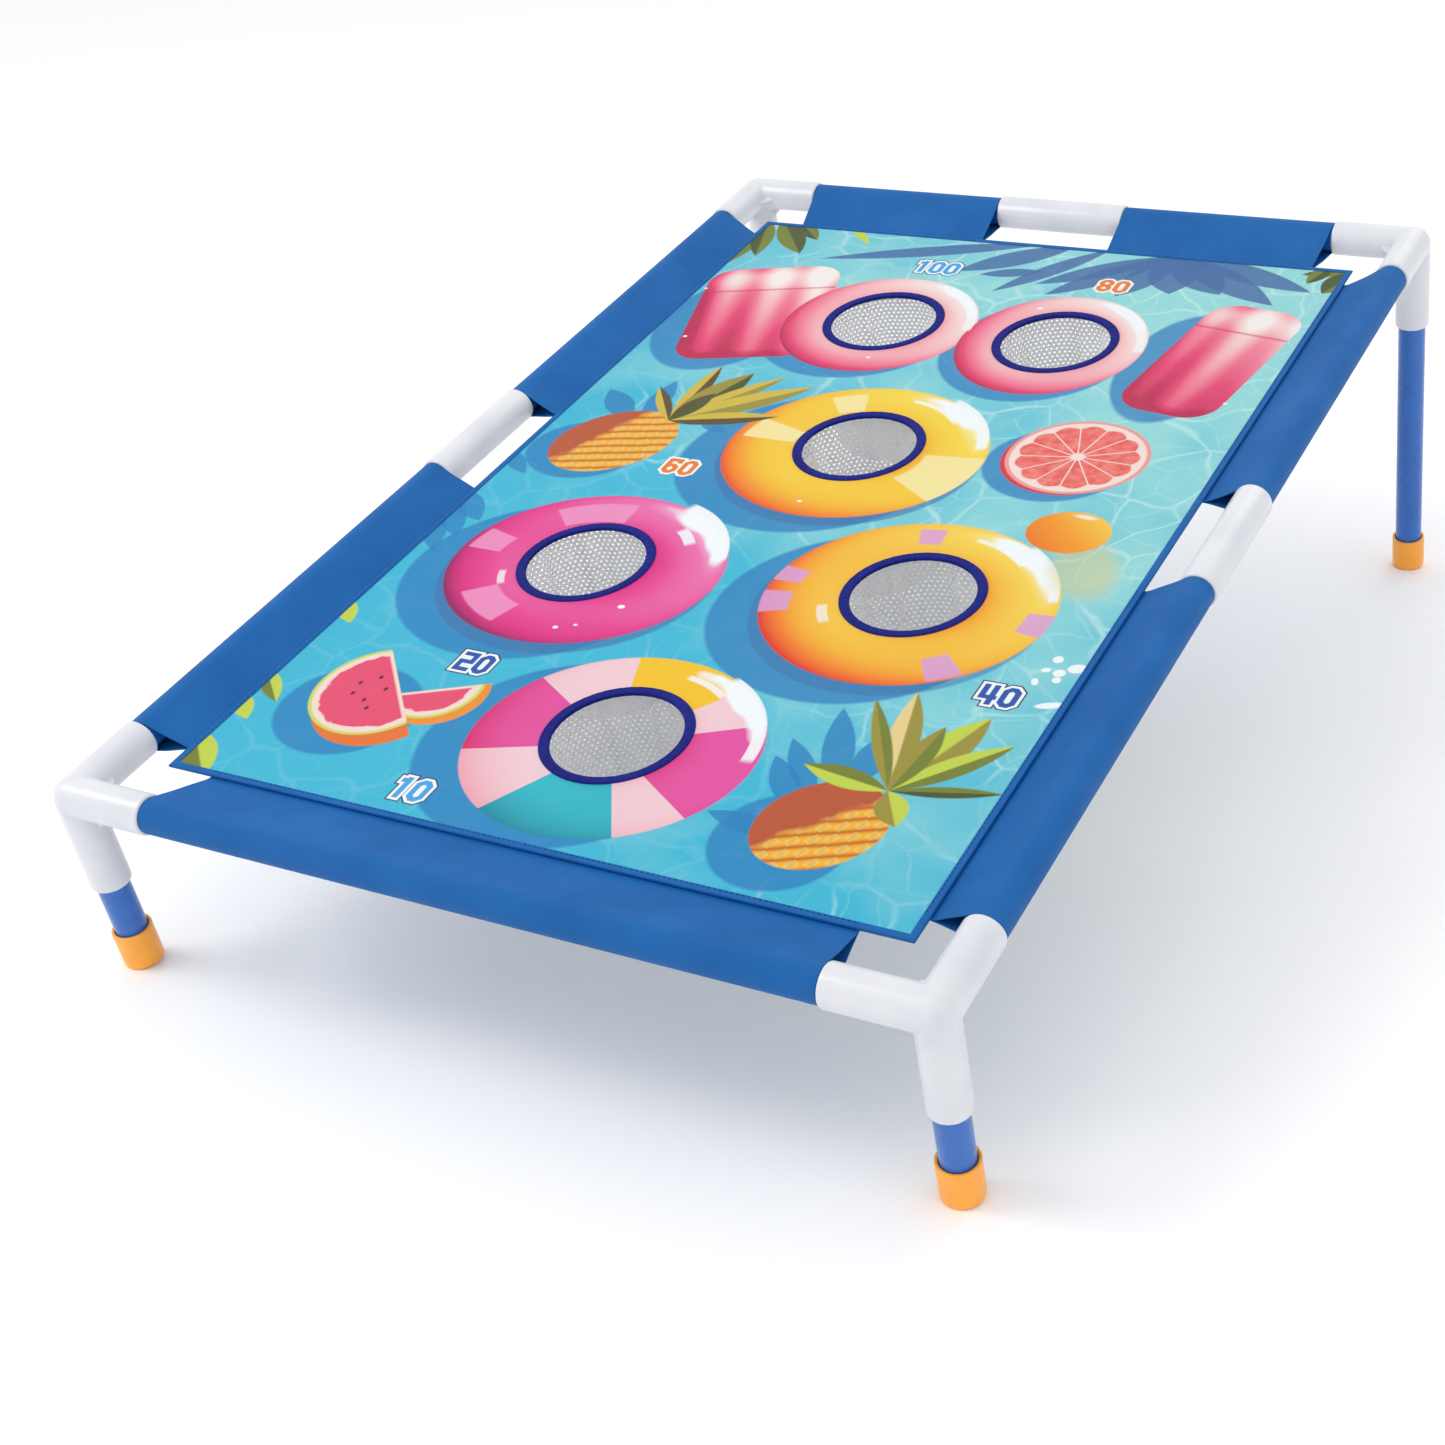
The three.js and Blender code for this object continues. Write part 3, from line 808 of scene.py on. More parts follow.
hole_stitch_places = []
for score in SCORES:
    spot = hole_places[score]
    tape = hole_tape_mesh(spot, score)
    piece(f"hole_binding_{score}", tape, navy_cloth, "board", [f"hole_tape_{score}"])
    radius = HOLE_TAPE_RADIUS - 1.3
    count = round(2 * math.pi * radius / STITCH_PITCH)
    for i in range(count):
        turn = 2 * math.pi * i / count
        x, y = spot.x + radius * math.cos(turn), spot.y + radius * math.sin(turn)
        height = PANEL_LEVEL + panel_height(x, y) + PANEL_THICKNESS / 2 + 0.84
        hole_stitch_places.append(((x, y, height), (-math.sin(turn), math.cos(turn), 0), UP))
piece("hole_binding_stitching", stitches(hole_stitch_places), navy_thread, "board")

# ---------------------------------------------------------------- net pockets

NET_PITCH = 4.0  # from one hole of the net to the next
NET_HOLE = 0.23  # radius of a net hole, as a share of the pitch
NET_THREAD = 0.45
POCKET_TOP = PANEL_LEVEL - PANEL_THICKNESS / 2 - 0.9


def net_grid(width, height, wrap):
    """A flat hexagonal net: cells as rings of quads round six-sided holes, as (x, y) points and faces.

    wrap is the number of columns that goes once round, or None for a net that doesn't close on itself.
    """
    row_step = NET_PITCH * math.sqrt(3) / 2
    rows = round(height / row_step)
    columns = wrap or round(width / NET_PITCH)
    points, faces = [], []
    outer = NET_PITCH / math.sqrt(3)
    inner = NET_PITCH * NET_HOLE
    for row in range(rows):
        for column in range(columns):
            x = (column + (row % 2) / 2) * NET_PITCH
            y = (row + 0.5) * row_step
            base = len(points)
            for radius in (outer, inner):
                for side in range(6):
                    turn = math.pi / 6 + math.pi / 3 * side
                    points.append((x + radius * math.cos(turn), y + radius * math.sin(turn)))
            for side in range(6):
                after = (side + 1) % 6
                faces.append((base + side, base + after, base + 6 + after, base + 6 + side))
    return points, faces


def pocket_wall(share, turn, folds):
    """Radius of the pocket's side wall at a share of its depth from the top, with soft vertical folds."""
    narrow = 1 - 0.16 * max(0, share - 0.55) ** 1.5 / 0.3
    waves = sum(depth * math.exp(-((math.remainder(turn - at, 2 * math.pi)) / width) ** 2)
                for at, width, depth in folds)
    settle = math.sin(math.pi * min(1, share * 1.15)) ** 0.7 if share > 0 else 0
    return (POCKET_RADIUS - 1.6) * narrow - waves * settle


def net_pocket(score):
    spot = hole_places[score]
    draw = random.Random(score)
    folds = [
        (draw.uniform(0, 0.5) + i * 2 * math.pi / 9, draw.uniform(0.07, 0.16), draw.uniform(1.5, 5.0))
        for i in range(9)
    ]
    depth = POCKET_DEPTH - 4
    round_it = 2 * math.pi * (POCKET_RADIUS - 1.6)
    columns = round(round_it / NET_PITCH)
    flat_points, flat_faces = net_grid(round_it, depth, columns)
    scale = 2 * math.pi / (columns * NET_PITCH)
    tall = max(y for _, y in flat_points)
    points, faces = [], [tuple(face) for face in flat_faces]
    for x, y in flat_points:
        turn = x * scale
        share = max(0.0, min(1.0, y / tall))
        radius = pocket_wall(share, turn, folds)
        points.append((radius * math.cos(turn), radius * math.sin(turn), POCKET_TOP - 0.4 - share * depth))
    # The floor: the same net, kept inside the wall's lower edge, sagging a little in the middle.
    bottom = pocket_wall(1, 1.0, []) - 0.4
    reach = 2 * bottom + 2 * NET_PITCH
    floor_points, floor_faces = net_grid(reach, reach, None)
    base = len(points)
    placed = []
    for x, y in floor_points:
        fx, fy = x - reach / 2, y - reach / 2
        distance = math.hypot(fx, fy)
        placed.append((fx, fy, distance))
    for fx, fy, distance in placed:
        pull = min(1, bottom / distance) if distance > 0 else 1
        fx, fy = fx * pull, fy * pull
        dip = 2.2 * (1 - min(1, distance / bottom) ** 2)
        wave = 0.5 * math.sin(fx / 9 + score) * math.sin(fy / 11)
        points.append((fx, fy, POCKET_TOP - 0.4 - depth - dip + wave))
    for face in floor_faces:
        if min(placed[i][2] for i in face) < bottom:
            faces.append(tuple(base + i for i in face))
    net = scratch(mesh_of(points, faces))
    mesh = applied(net, ("SOLIDIFY", {"thickness": NET_THREAD, "offset": 0, "use_rim": True}))
    bpy.data.objects.remove(net)
    place = board_place @ Matrix.Translation((spot.x, spot.y, 0))
    thing = piece(f"net_bag_{score}", mesh, net_finish, "board", [f"pocket_{score}"], place)
    cell = NET_PITCH ** 2 * math.sqrt(3) / 2
    solid_share = 1 - (3 * math.sqrt(3) / 2) * (NET_PITCH * NET_HOLE) ** 2 / cell
    cut = (round_it * depth + math.pi * bottom ** 2) * MM * MM
    flat = (round_it * MM, cut / (round_it * MM))
    cut * solid_share

    # The bag's sewn rim under the panel, and the rolled seam that joins its side to its floor.
    top, low = POCKET_TOP, POCKET_TOP - 0.4 - depth
    flange = mesh_of(*turned(
        [(HOLE_TAPE_RADIUS + 0.4, top), (POCKET_RADIUS - 0.3, top), (POCKET_RADIUS - 0.1, top - 1.2),
         (POCKET_RADIUS - 0.6, top - 7), (POCKET_RADIUS - 1.6, top - 7), (POCKET_RADIUS - 2.2, top - 1.4),
         (HOLE_TAPE_RADIUS + 0.4, top - 0.8)], 96, closed=True))
    piece(f"net_rim_{score}", flange, rim_cloth, "board", (), place)
    ring = [(bottom + 0.9 + 1.1 * math.cos(t), low + 1.1 * math.sin(t))
            for t in [2 * math.pi * i / 10 for i in range(10)]]
    piece(f"net_seam_{score}", mesh_of(*turned(ring, 96, closed=True)), rim_cloth, "board", (), place)


net_finish = woven("net_cord", srgb(254, 254, 254), srgb(250, 250, 251), 0.5, 0.8, 0.05, 0.2)
net_shader = net_finish.node_tree.nodes["Principled BSDF"]
net_shader.inputs["Subsurface Weight"].default_value = 0.8  # thin white thread lets light through
net_shader.inputs["Subsurface Radius"].default_value = (1, 1, 1)
net_shader.inputs["Subsurface Scale"].default_value = 1.5 * MM
rim_cloth = woven("net_rim_cloth", srgb(244, 244, 245), srgb(236, 237, 239), 0.7, 0.8, 0.1)
for score in SCORES:
    net_pocket(score)

# ---------------------------------------------------------------- printed picture: a swimming pool from above

LIGHT_TURN = math.radians(48)  # where the picture's own light comes from, on the panel
LIGHT_WAY = (math.cos(LIGHT_TURN), math.sin(LIGHT_TURN), 0)
WHITE = srgb(252, 253, 252)
LAYERS_HELD = 6
NEXT_TO_NOTHING = 1e-9
INK_STRENGTH = (0.76, 0.8, 0.83)  # how much red, green and blue the printed cloth gives back


class Picture(Finish):
    """A picture painted layer on layer in the board's plane. Places and sizes are in millimetres.

    A renderer can hold only a few values at a time, and may find every shape before it lays the first layer. So
    after every few layers the place is passed on through the picture so far, which nothing can then run ahead of.
    """

    def __init__(self, name, ground, **settings):
        super().__init__(name, **settings)
        coordinates = self.node("TexCoord")
        self.spot = Value(self, coordinates.outputs["Object"])
        self.normal = Value(self, coordinates.outputs["Normal"])
        self.at = self.vector("MULTIPLY", self.spot, (1, 1, 0))
        self.layers = 0
        self.picture = ground(self)

    def both(self, vector, first=(1, 0), second=(0, 1)):
        """A vector's two coordinates along two ways."""
        return [self.vector("DOT_PRODUCT", vector, (*way, 0)) for way in (first, second)]

    def seen_from(self, centre, size=(1, 1), turn=0):
        """The place seen from a shape's centre, along its own turned axes, in units of its half sizes."""
        if turn == 0:
            shift = (-centre[0] / size[0], -centre[1] / size[1], 0)
            return self.vector("MULTIPLY_ADD", self.at, (1 / size[0], 1 / size[1], 0), shift)
        return self.join(*self.ways(centre, size, turn))

    def ways(self, centre, size, turn):
        """seen_from, as two numbers."""
        c, s = math.cos(math.radians(turn)), math.sin(math.radians(turn))
        off = self.vector("SUBTRACT", self.at, (*centre, 0))
        return self.both(off, (c / size[0], s / size[0]), (-s / size[1], c / size[1]))

    def inside(self, distance, soft=0.03, edge=1.0):
        return self.ramp(distance, edge + soft / 2, edge - soft / 2)

    def paint(self, mask, colour, strength=1.0):
        self.picture = self.mix(mask if strength == 1.0 else mask * strength, self.picture, colour)
        self.layers += 1
        if self.layers % LAYERS_HELD == 0:
            self.at = self.vector("MULTIPLY_ADD", self.picture, (NEXT_TO_NOTHING,) * 3, self.at)

    def stops(self, value, stops, steps=False):
        """A colour looked up from (place, colour) stops."""
        node = self.node("ValToRGB", {"Fac": value})
        node.color_ramp.interpolation = "CONSTANT" if steps else "LINEAR"
        elements = node.color_ramp.elements
        elements[1].position, elements[1].color = stops[-1]
        elements[0].position, elements[0].color = stops[0]
        for place, colour in stops[1:-1]:
            elements.new(place).color = colour
        return Value(self, node.outputs[0])

    def disc(self, centre, radii, colour, turn=0, soft=1.0, strength=1.0):
        seen = self.seen_from(centre, radii, turn)
        mask = self.inside(self.vector("LENGTH", seen), soft / min(radii))
        self.paint(mask, colour, strength)
        return seen

    def leaf(self, base, tip, width, light, dark=None, strength=1.0):
        """A pointed leaf, in two tones along its midrib."""
        middle = ((base[0] + tip[0]) / 2, (base[1] + tip[1]) / 2)
        way = math.degrees(math.atan2(tip[1] - base[1], tip[0] - base[0]))
        long = math.hypot(tip[0] - base[0], tip[1] - base[1]) / 2
        x, y = self.ways(middle, (long, width), way)
        mask = self.inside(self.math("MULTIPLY_ADD", x, x, self.math("ABSOLUTE", y)), 1.2 / width)
        colour = light if dark is None else self.mix(self.ramp(y, -0.06, 0.06), dark, light)
        self.paint(mask, colour, strength)

    def ring_float(self, centre, radii, inner, shades, bands=None, patches=(), patch_colour=None):
        """A round swim ring, lit as a tube that stands out of the water.

        shades are its colours from dark to light. bands are (share of a turn, colour) round the ring, used in
        place of the middle shade, and patches are (degrees, half width, from, to) of printed patches on the tube.
        """
        seen = self.seen_from(centre, radii)
        far = self.vector("LENGTH", seen)
        facing = self.vector("DOT_PRODUCT", self.vector("NORMALIZE", seen), LIGHT_WAY)
        bulge = self.ramp(far, inner, 1.0, -1.0, 1.0)
        rise = self.math("SQRT", self.math("MAXIMUM", 1.0 - bulge * bulge, 0.0))
        light = facing * bulge * 0.6 + rise * 0.52 + facing * 0.2
        if bands or patches:
            x, y = self.both(seen)
            turn = self.ramp(self.math("ARCTAN2", y, x), -math.pi, math.pi)
        if bands:
            base = self.stops(turn, bands, steps=True)
            deep = Value(self, self.node("Gamma", {"Color": base, "Gamma": 1.9}).outputs[0])
            body = self.mix(self.ramp(light, -0.5, 0.55), deep, base)
        else:
            body = self.stops(self.ramp(light, -0.55, 1.0), shades)
        for degrees, half, start, end in patches:
            off = self.math("ABSOLUTE", turn - (degrees / 360 + 0.5))
            mask = self.inside(off, 0.003, half / 360)
            mask = mask * self.ramp(far, start - 0.01, start + 0.01) * self.ramp(far, end + 0.01, end - 0.01)
            body = self.mix(mask * 0.85, body, patch_colour)
        glint = self.noise(self.spot, 0.035, 1.0) * 0.16 + light
        body = self.mix(self.ramp(glint, 0.985, 1.03), body, WHITE)
        self.paint(self.inside(far, 1.2 / min(radii)), body)

    def glint_on(self, centre, radii, degrees, strength, spread, near, far):
        """A bright glint on a tube: an arc between two shares of the radius, spread degrees wide."""
        seen = self.seen_from(centre, radii, degrees)
        x, y = self.both(seen)
        turn = self.math("ABSOLUTE", self.math("ARCTAN2", y, x))
        mask = self.inside(turn, 0.06, math.radians(spread))
        distance = self.math("ABSOLUTE", self.vector("LENGTH", seen) - (near + far) / 2)
        self.paint(mask * self.inside(distance, 0.01, (far - near) / 2), WHITE, strength)

    def air_bed(self, centre, half, turn, ribs):
        """A pink air bed: a ribbed cushion with round corners."""
        seen = self.seen_from(centre, (1, 1), turn)
        corner = 24
        over = self.vector("SUBTRACT", self.vector("ABSOLUTE", seen), (half[0] - corner, half[1] - corner, 0))
        off = self.vector("LENGTH", self.vector("MAXIMUM", over, (0, 0, 0)))
        x, y = self.both(seen)
        rib = self.math("SINE", x * (math.pi * ribs / half[0]) + 0.9)
        side = self.vector("DOT_PRODUCT", seen, (0.0042, 0.0042, 0))
        edge = self.ramp(off, corner * 0.45, corner, 0.0, 0.34)
        pillow = self.math("SINE", self.ramp(y, half[1] - 40, half[1], 0.0, math.pi)) * 0.16
        light = rib * 0.17 + side + 0.5 + pillow - edge * (0.9 - side)
        body = self.stops(light, PINK_SHADES)
        groove = self.inside(self.math("ABSOLUTE", y - (half[1] - 40)), 0.8, 1.4)
        body = self.mix(groove * 0.55, body, srgb(214, 40, 96))
        self.paint(self.inside(off, 0.05, corner), body)

    def frame_stroke(self, centre, half):
        """Distance to a chamfered frame's stroke, for the round of a digit."""
        seen = self.vector("ABSOLUTE", self.seen_from(centre))
        x, y = self.both(seen)
        square = self.math("MAXIMUM", x - half[0], y - half[1])
        chamfer = (x + y - (half[0] + half[1] - 2.6)) * 0.7
        return self.math("ABSOLUTE", self.math("MAXIMUM", square, chamfer)) - STROKE

    def bar_stroke(self, start, end):
        """Distance to a straight stroke with square ends."""
        middle = ((start[0] + end[0]) / 2, (start[1] + end[1]) / 2)
        half = (abs(end[0] - start[0]) / 2 + STROKE, abs(end[1] - start[1]) / 2 + STROKE, 0)
        x, y = self.both(self.vector("SUBTRACT", self.vector("ABSOLUTE", self.seen_from(middle)), half))
        return self.math("MAXIMUM", x, y)

    def number(self, text, centre, fill, rim):
        """A score in block digits, with a white outline and, if rim is given, a dark one round that."""
        nearest = None
        for index, digit in enumerate(text):
            left = centre[0] + (index - (len(text) - 1) / 2) * DIGIT_STEP
            for kind, *numbers in DIGITS[digit]:
                if kind == "frame":
                    low, high = numbers
                    middle = (left, centre[1] + (low + high) / 2)
                    stroke = self.frame_stroke(middle, (DIGIT_HALF, (high - low) / 2))
                else:
                    x0, y0, x1, y1 = numbers
                    stroke = self.bar_stroke((left + x0, centre[1] + y0), (left + x1, centre[1] + y1))
                nearest = stroke if nearest is None else self.math("MINIMUM", nearest, stroke)
        if rim:
            self.paint(self.inside(nearest, 0.5, 3.0), rim)
        self.paint(self.inside(nearest, 0.5, 2.0), WHITE)
        self.paint(self.inside(nearest, 0.5, 0.0), fill)


STROKE = 2.0  # half width of a digit's stroke
DIGIT_HALF = 3.9
DIGIT_TALL = 8.0
DIGIT_STEP = 13.4
WIDE, TALL = DIGIT_HALF, DIGIT_TALL
DIGITS = {
    "0": [("frame", -TALL, TALL)],
    "1": [("bar", 1, -TALL, 1, TALL), ("bar", -2, TALL - 1.5, 1, TALL - 1.5)],
    "2": [("bar", -WIDE, TALL, WIDE, TALL), ("bar", WIDE, 0, WIDE, TALL), ("bar", -WIDE, 0, WIDE, 0),
          ("bar", -WIDE, -TALL, -WIDE, 0), ("bar", -WIDE, -TALL, WIDE, -TALL)],
    "4": [("bar", -WIDE, -2, -WIDE, TALL), ("bar", -WIDE, -2.5, WIDE, -2.5),
          ("bar", WIDE - 1.5, -TALL, WIDE - 1.5, TALL)],
    "6": [("frame", -TALL, 1), ("bar", -WIDE, -4, -WIDE, TALL - 1), ("bar", -WIDE + 1, TALL, WIDE, TALL),
          ("bar", WIDE, TALL - 2, WIDE, TALL)],
    "8": [("frame", -TALL, 0), ("frame", 0, TALL)],
}

PINK_SHADES = [(0.0, srgb(196, 20, 78)), (0.3, srgb(238, 62, 112)), (0.55, srgb(250, 132, 156)),
               (0.8, srgb(254, 202, 198)), (1.0, srgb(255, 240, 234))]
HOT_PINK_SHADES = [(0.0, srgb(150, 4, 90)), (0.3, srgb(222, 26, 122)), (0.6, srgb(238, 60, 144)),
                   (0.9, srgb(243, 110, 172)), (1.0, srgb(252, 190, 222))]
YELLOW_SHADES = [(0.0, srgb(244, 84, 12)), (0.3, srgb(252, 146, 22)), (0.6, srgb(253, 198, 40)),
                 (0.9, srgb(255, 218, 66)), (1.0, srgb(255, 242, 170))]
ORANGE_SHADES = [(0.0, srgb(232, 52, 12)), (0.3, srgb(252, 122, 20)), (0.6, srgb(253, 184, 42)),
                 (0.9, srgb(255, 214, 74)), (1.0, srgb(255, 240, 170))]
SHADOW = srgb(20, 128, 190)
DEEP_SHADOW = srgb(52, 112, 168)
PALM_SHADOW = srgb(58, 104, 162)
LIME, OLIVE, DARK_LEAF = srgb(200, 214, 70), srgb(120, 130, 40), srgb(72, 84, 30)
GOLD_LEAF, BROWN_LEAF, CROWN_LEAF = srgb(216, 186, 62), srgb(92, 74, 30), srgb(160, 146, 52)
PALE_PINK, RING_PINK, TEAL = srgb(250, 206, 212), srgb(236, 78, 160), srgb(40, 186, 200)
LILAC = srgb(222, 158, 214)


def pool_water(art):
    """Shallow water: drifting tone, and the net of light that ripples throw on a pool's floor."""
    noise = art.node("TexNoise", {"Vector": art.spot, "Scale": 0.012, "Detail": 2.0})
    drift = Value(art, noise.outputs["Fac"])
    swirl = Value(art, noise.outputs["Color"])
    brighter = art.vector("DOT_PRODUCT", art.at, (0.0011, 0.0009, 0))
    tone = art.ramp(drift * 1.1 + brighter, 0.3, 0.95)
    water = art.mix(tone, srgb(56, 186, 214), srgb(152, 220, 218))
    reach = 70  # how far the noise bends the net
    feeds = {"Vector": art.spot, "Location": swirl, "Scale": (1 / reach, 1 / reach, 1 / reach)}
    bent = Value(art, art.node("Mapping", feeds).outputs[0])
    for scale, width, strength in ((0.021, 0.055, 0.62), (0.034, 0.045, 0.3)):
        cells = art.node("TexVoronoi", {"Vector": bent, "Scale": scale * reach}, feature="DISTANCE_TO_EDGE",
                         voronoi_dimensions="2D")
        line = art.ramp(Value(art, cells.outputs["Distance"]), width, 0.0)
        patchy = art.ramp(art.noise(art.spot, 0.016, 2.0) + brighter * 0.5, 0.42, 0.7, 0.15, 1.0)
        water = art.mix(line * patchy * strength, water, srgb(206, 241, 238))
    return water


def pineapple(art, body, radii, turn, crown, leaves, lit_way, shade_at):
    """A pineapple lying in the water. crown is its leaves' base, and leaves are (tip, half width, light, dark)."""
    seen = art.seen_from(body, radii, turn)
    far = art.vector("LENGTH", seen)
    x, y = art.ways(body, (1, 1), turn)
    wobble = art.noise(art.spot, 0.06, 1.0) * 2.5
    one = art.math("PINGPONG", x * 0.62 + y + wobble + 200.0, 6.0)
    other = art.math("PINGPONG", x * 0.62 - y + wobble + 200.0, 6.0)
    cell = art.math("MINIMUM", one, other)
    light = art.vector("DOT_PRODUCT", seen, (*lit_way, 0)) + art.noise(art.spot, 0.09, 1.0) * 0.3 - 0.15
    eyes = art.mix(art.ramp(cell, 0.4, 3.2), srgb(206, 112, 18), srgb(252, 178, 46))
    eyes = art.mix(art.ramp(one - other, 0.5, 1.0) * 0.6, eyes, srgb(255, 214, 104))
    skin = art.mix(art.ramp(light, shade_at - 0.06, shade_at + 0.1), srgb(192, 84, 44), eyes)
    art.paint(art.inside(far, 0.03), skin)
    for tip, width, light_side, dark_side in leaves:
        art.leaf(crown, tip, width, light_side, dark_side)


def grapefruit(art, centre, radii):
    art.disc((centre[0] - 3, centre[1] - 4), (radii[0] - 1, radii[1] - 2), srgb(226, 34, 60))
    art.disc(centre, radii, srgb(246, 158, 148))
    art.disc(centre, (radii[0] - 3, radii[1] - 3), srgb(253, 226, 214))
    seen = art.seen_from(centre, (radii[0] - 8, radii[1] - 8))
    x, y = art.both(seen)
    far = art.vector("LENGTH", seen)
    wedge = art.math("ABSOLUTE", art.math("SINE", art.math("ARCTAN2", y, x) * 6.5 + 0.4)) * far
    rounded_end = art.inside(far + (1.0 - wedge) * 0.09, 0.03, 1.02)
    flesh = art.ramp(wedge, 0.045, 0.1) * rounded_end * art.ramp(far, 0.1, 0.14)
    pulp = art.noise(art.spot, 0.16, 3.0)
    art.paint(flesh, art.mix(art.ramp(pulp, 0.35, 0.7), srgb(240, 92, 84), srgb(250, 138, 124)))


def watermelon(art):
    """A wedge with its tip up and a second, smaller slice behind it."""
    def wedge(centre, radius, cut_way, cut_at, skin_shift, skin):
        seen = art.seen_from(centre)
        across = art.vector("DOT_PRODUCT", seen, (*cut_way, 0))
        side = art.ramp(across, cut_at - 0.5, cut_at + 0.5)
        under = art.vector("LENGTH", art.seen_from((centre[0] + skin_shift[0], centre[1] + skin_shift[1])))
        art.paint(art.inside(under, 1.0, radius) * side, skin)
        far = art.vector("LENGTH", seen)
        art.paint(art.inside(far, 1.0, radius) * side, srgb(214, 218, 96))
        art.paint(art.inside(far, 1.0, radius - 2.5) * side, srgb(252, 222, 206))
        inner = art.ramp(across, cut_at + 1.5, cut_at + 3.0)
        ragged = far + art.noise(art.spot, 0.12, 1.0) * 6.0
        art.paint(art.inside(ragged, 1.2, radius - 4.5) * inner, srgb(238, 74, 112))

    wedge((-139, -276), 34, (0.45, -0.89), 4, (7, -5), srgb(244, 146, 44))
    wedge((-172, -291), 46, (-0.74, -0.67), -13, (10, -9), srgb(238, 116, 40))
    for x, y in ((-190, -287), (-169, -288), (-188, -298), (-169, -309), (-180, -278), (-176, -302)):
        art.disc((x, y), (1.3, 1.9), srgb(70, 20, 30), soft=0.8)


def pool_picture():
    art = Picture("printed_cloth", pool_water, Specular_IOR_Level=0.3, Sheen_Weight=0.1, Sheen_Roughness=0.4)
    # Palm shadows on the pool floor, and leaves that reach in over the panel's edge.
    for base, tip, width in (
        ((10, 402), (-176, 340), 9), ((30, 400), (-52, 340), 13), ((60, 400), (-8, 312), 9),
        ((112, 396), (22, 330), 11),
        ((114, 396), (36, 314), 12), ((116, 396), (92, 322), 14), ((116, 398), (132, 334), 20),
        ((116, 398), (171, 340), 18), ((116, 398), (216, 330), 15), ((118, 400), (238, 356), 13),
        ((20, 352), (-30, 338), 7),
    ):
        art.leaf(base, tip, width, PALM_SHADOW, strength=0.9)
    for base, tip, width in (((-268, -60), (-228, -95), 10), ((-272, -70), (-232, -118), 10),
                             ((-270, -90), (-238, -138), 9), ((-268, 0), (-232, -30), 7)):
        art.leaf(base, tip, width, SHADOW, strength=0.8)
    for base, tip, width, light, dark in (
        ((-262, 400), (-254, 317), 13, OLIVE, DARK_LEAF), ((-258, 402), (-236, 334), 10, OLIVE, DARK_LEAF),
        ((-246, 404), (-199, 345), 12, DARK_LEAF, OLIVE), ((-232, 406), (-196, 372), 8, OLIVE, DARK_LEAF),
        ((-176, 402), (-147, 372), 4, LIME, LIME), ((262, 398), (222, 384), 7, OLIVE, DARK_LEAF),
        ((262, 396), (246, 356), 12, OLIVE, DARK_LEAF), ((240, 402), (230, 370), 7, DARK_LEAF, OLIVE),
        ((-264, -206), (-241, -231), 7, LIME, LIME), ((-266, -290), (-233, -321), 7, LIME, OLIVE),
        ((-266, -318), (-240, -342), 7, LIME, LIME), ((-268, -360), (-228, -400), 12, LIME, OLIVE),
    ):
        art.leaf(base, tip, width, light, dark)
    # What floats throws its shadow down to the left.
    for centre, radii in (
        ((-197, 222), (60, 82)), ((180, 224), (44, 82)), ((-86, 230), (80, 77)), ((66, 226), (74, 77)),
        ((-28, 38), (102, 93)), ((-142, -148), (101, 93)), ((92, -130), (101, 94)), ((-17, -310), (98, 90)),
        ((144, 74), (52, 48)), ((-206, 12), (46, 40)), ((150, -346), (42, 42)), ((-180, -314), (50, 46)),
    ):
        art.disc(centre, radii, SHADOW, soft=2.5, strength=0.85)
    art.disc((-5, 51), (99, 92), DEEP_SHADOW, soft=2.0, strength=0.7)
    art.disc((-118, -136), (101, 92), DEEP_SHADOW, soft=2.0, strength=0.7)
    art.disc((114, -116), (99, 93), DEEP_SHADOW, soft=2.0, strength=0.6)
    for base, tip, width in (
        ((-196, 60), (-236, 98), 11), ((-186, 62), (-190, 122), 9), ((-140, 70), (-112, 60), 5),
        ((160, -300), (128, -222), 10), ((166, -290), (168, -234), 11), ((150, -306), (112, -258), 8),
        ((146, -320), (110, -276), 9), ((150, -340), (96, -334), 8),
    ):
        art.leaf(base, tip, width, SHADOW, strength=0.85)

    art.air_bed((-182, 242), (56, 78), 16, 3)
    art.air_bed((200, 240), (38, 84), -9, 2)
    pink_left, pink_right = ((-74.7, 243), (79, 77)), ((72.7, 238.7), (73, 77))
    yellow, hot_pink = ((-5.2, 59.5), (98.8, 89.7)), ((-118.5, -126.5), (101, 90))
    patched, striped = ((116, -106), (99, 91.6)), ((7, -295), (96, 89))
    art.ring_float(*pink_left, 0.5, PINK_SHADES)
    art.ring_float(*pink_right, 0.52, PINK_SHADES)

    art.ring_float(*yellow, 0.44, YELLOW_SHADES, patches=(
        (178, 17, 0.5, 0.93), (-14, 21, 0.55, 1.1), (116, 9, 0.62, 0.9)), patch_colour=srgb(254, 236, 168))
    art.ring_float(*hot_pink, 0.44, HOT_PINK_SHADES, patches=(
        (172, 9, 0.7, 0.96), (112, 20, 0.62, 0.88), (-124, 16, 0.62, 0.88)), patch_colour=srgb(246, 150, 196))
    art.ring_float(*patched, 0.44, ORANGE_SHADES, patches=(
        (102, 6, 0.72, 0.92), (178, 9, 0.8, 1.1), (-164, 8, 0.8, 1.1), (-3, 8, 0.82, 1.1), (-53, 7, 0.72, 0.98)),
        patch_colour=LILAC)
    art.ring_float(*striped, 0.46, None, bands=[
        (0.0, RING_PINK), (0.055, PALE_PINK), (0.17, TEAL), (0.33, PALE_PINK), (0.405, RING_PINK),
        (0.58, PALE_PINK), (0.655, srgb(253, 198, 24)), (0.80, PALE_PINK), (0.91, RING_PINK)])
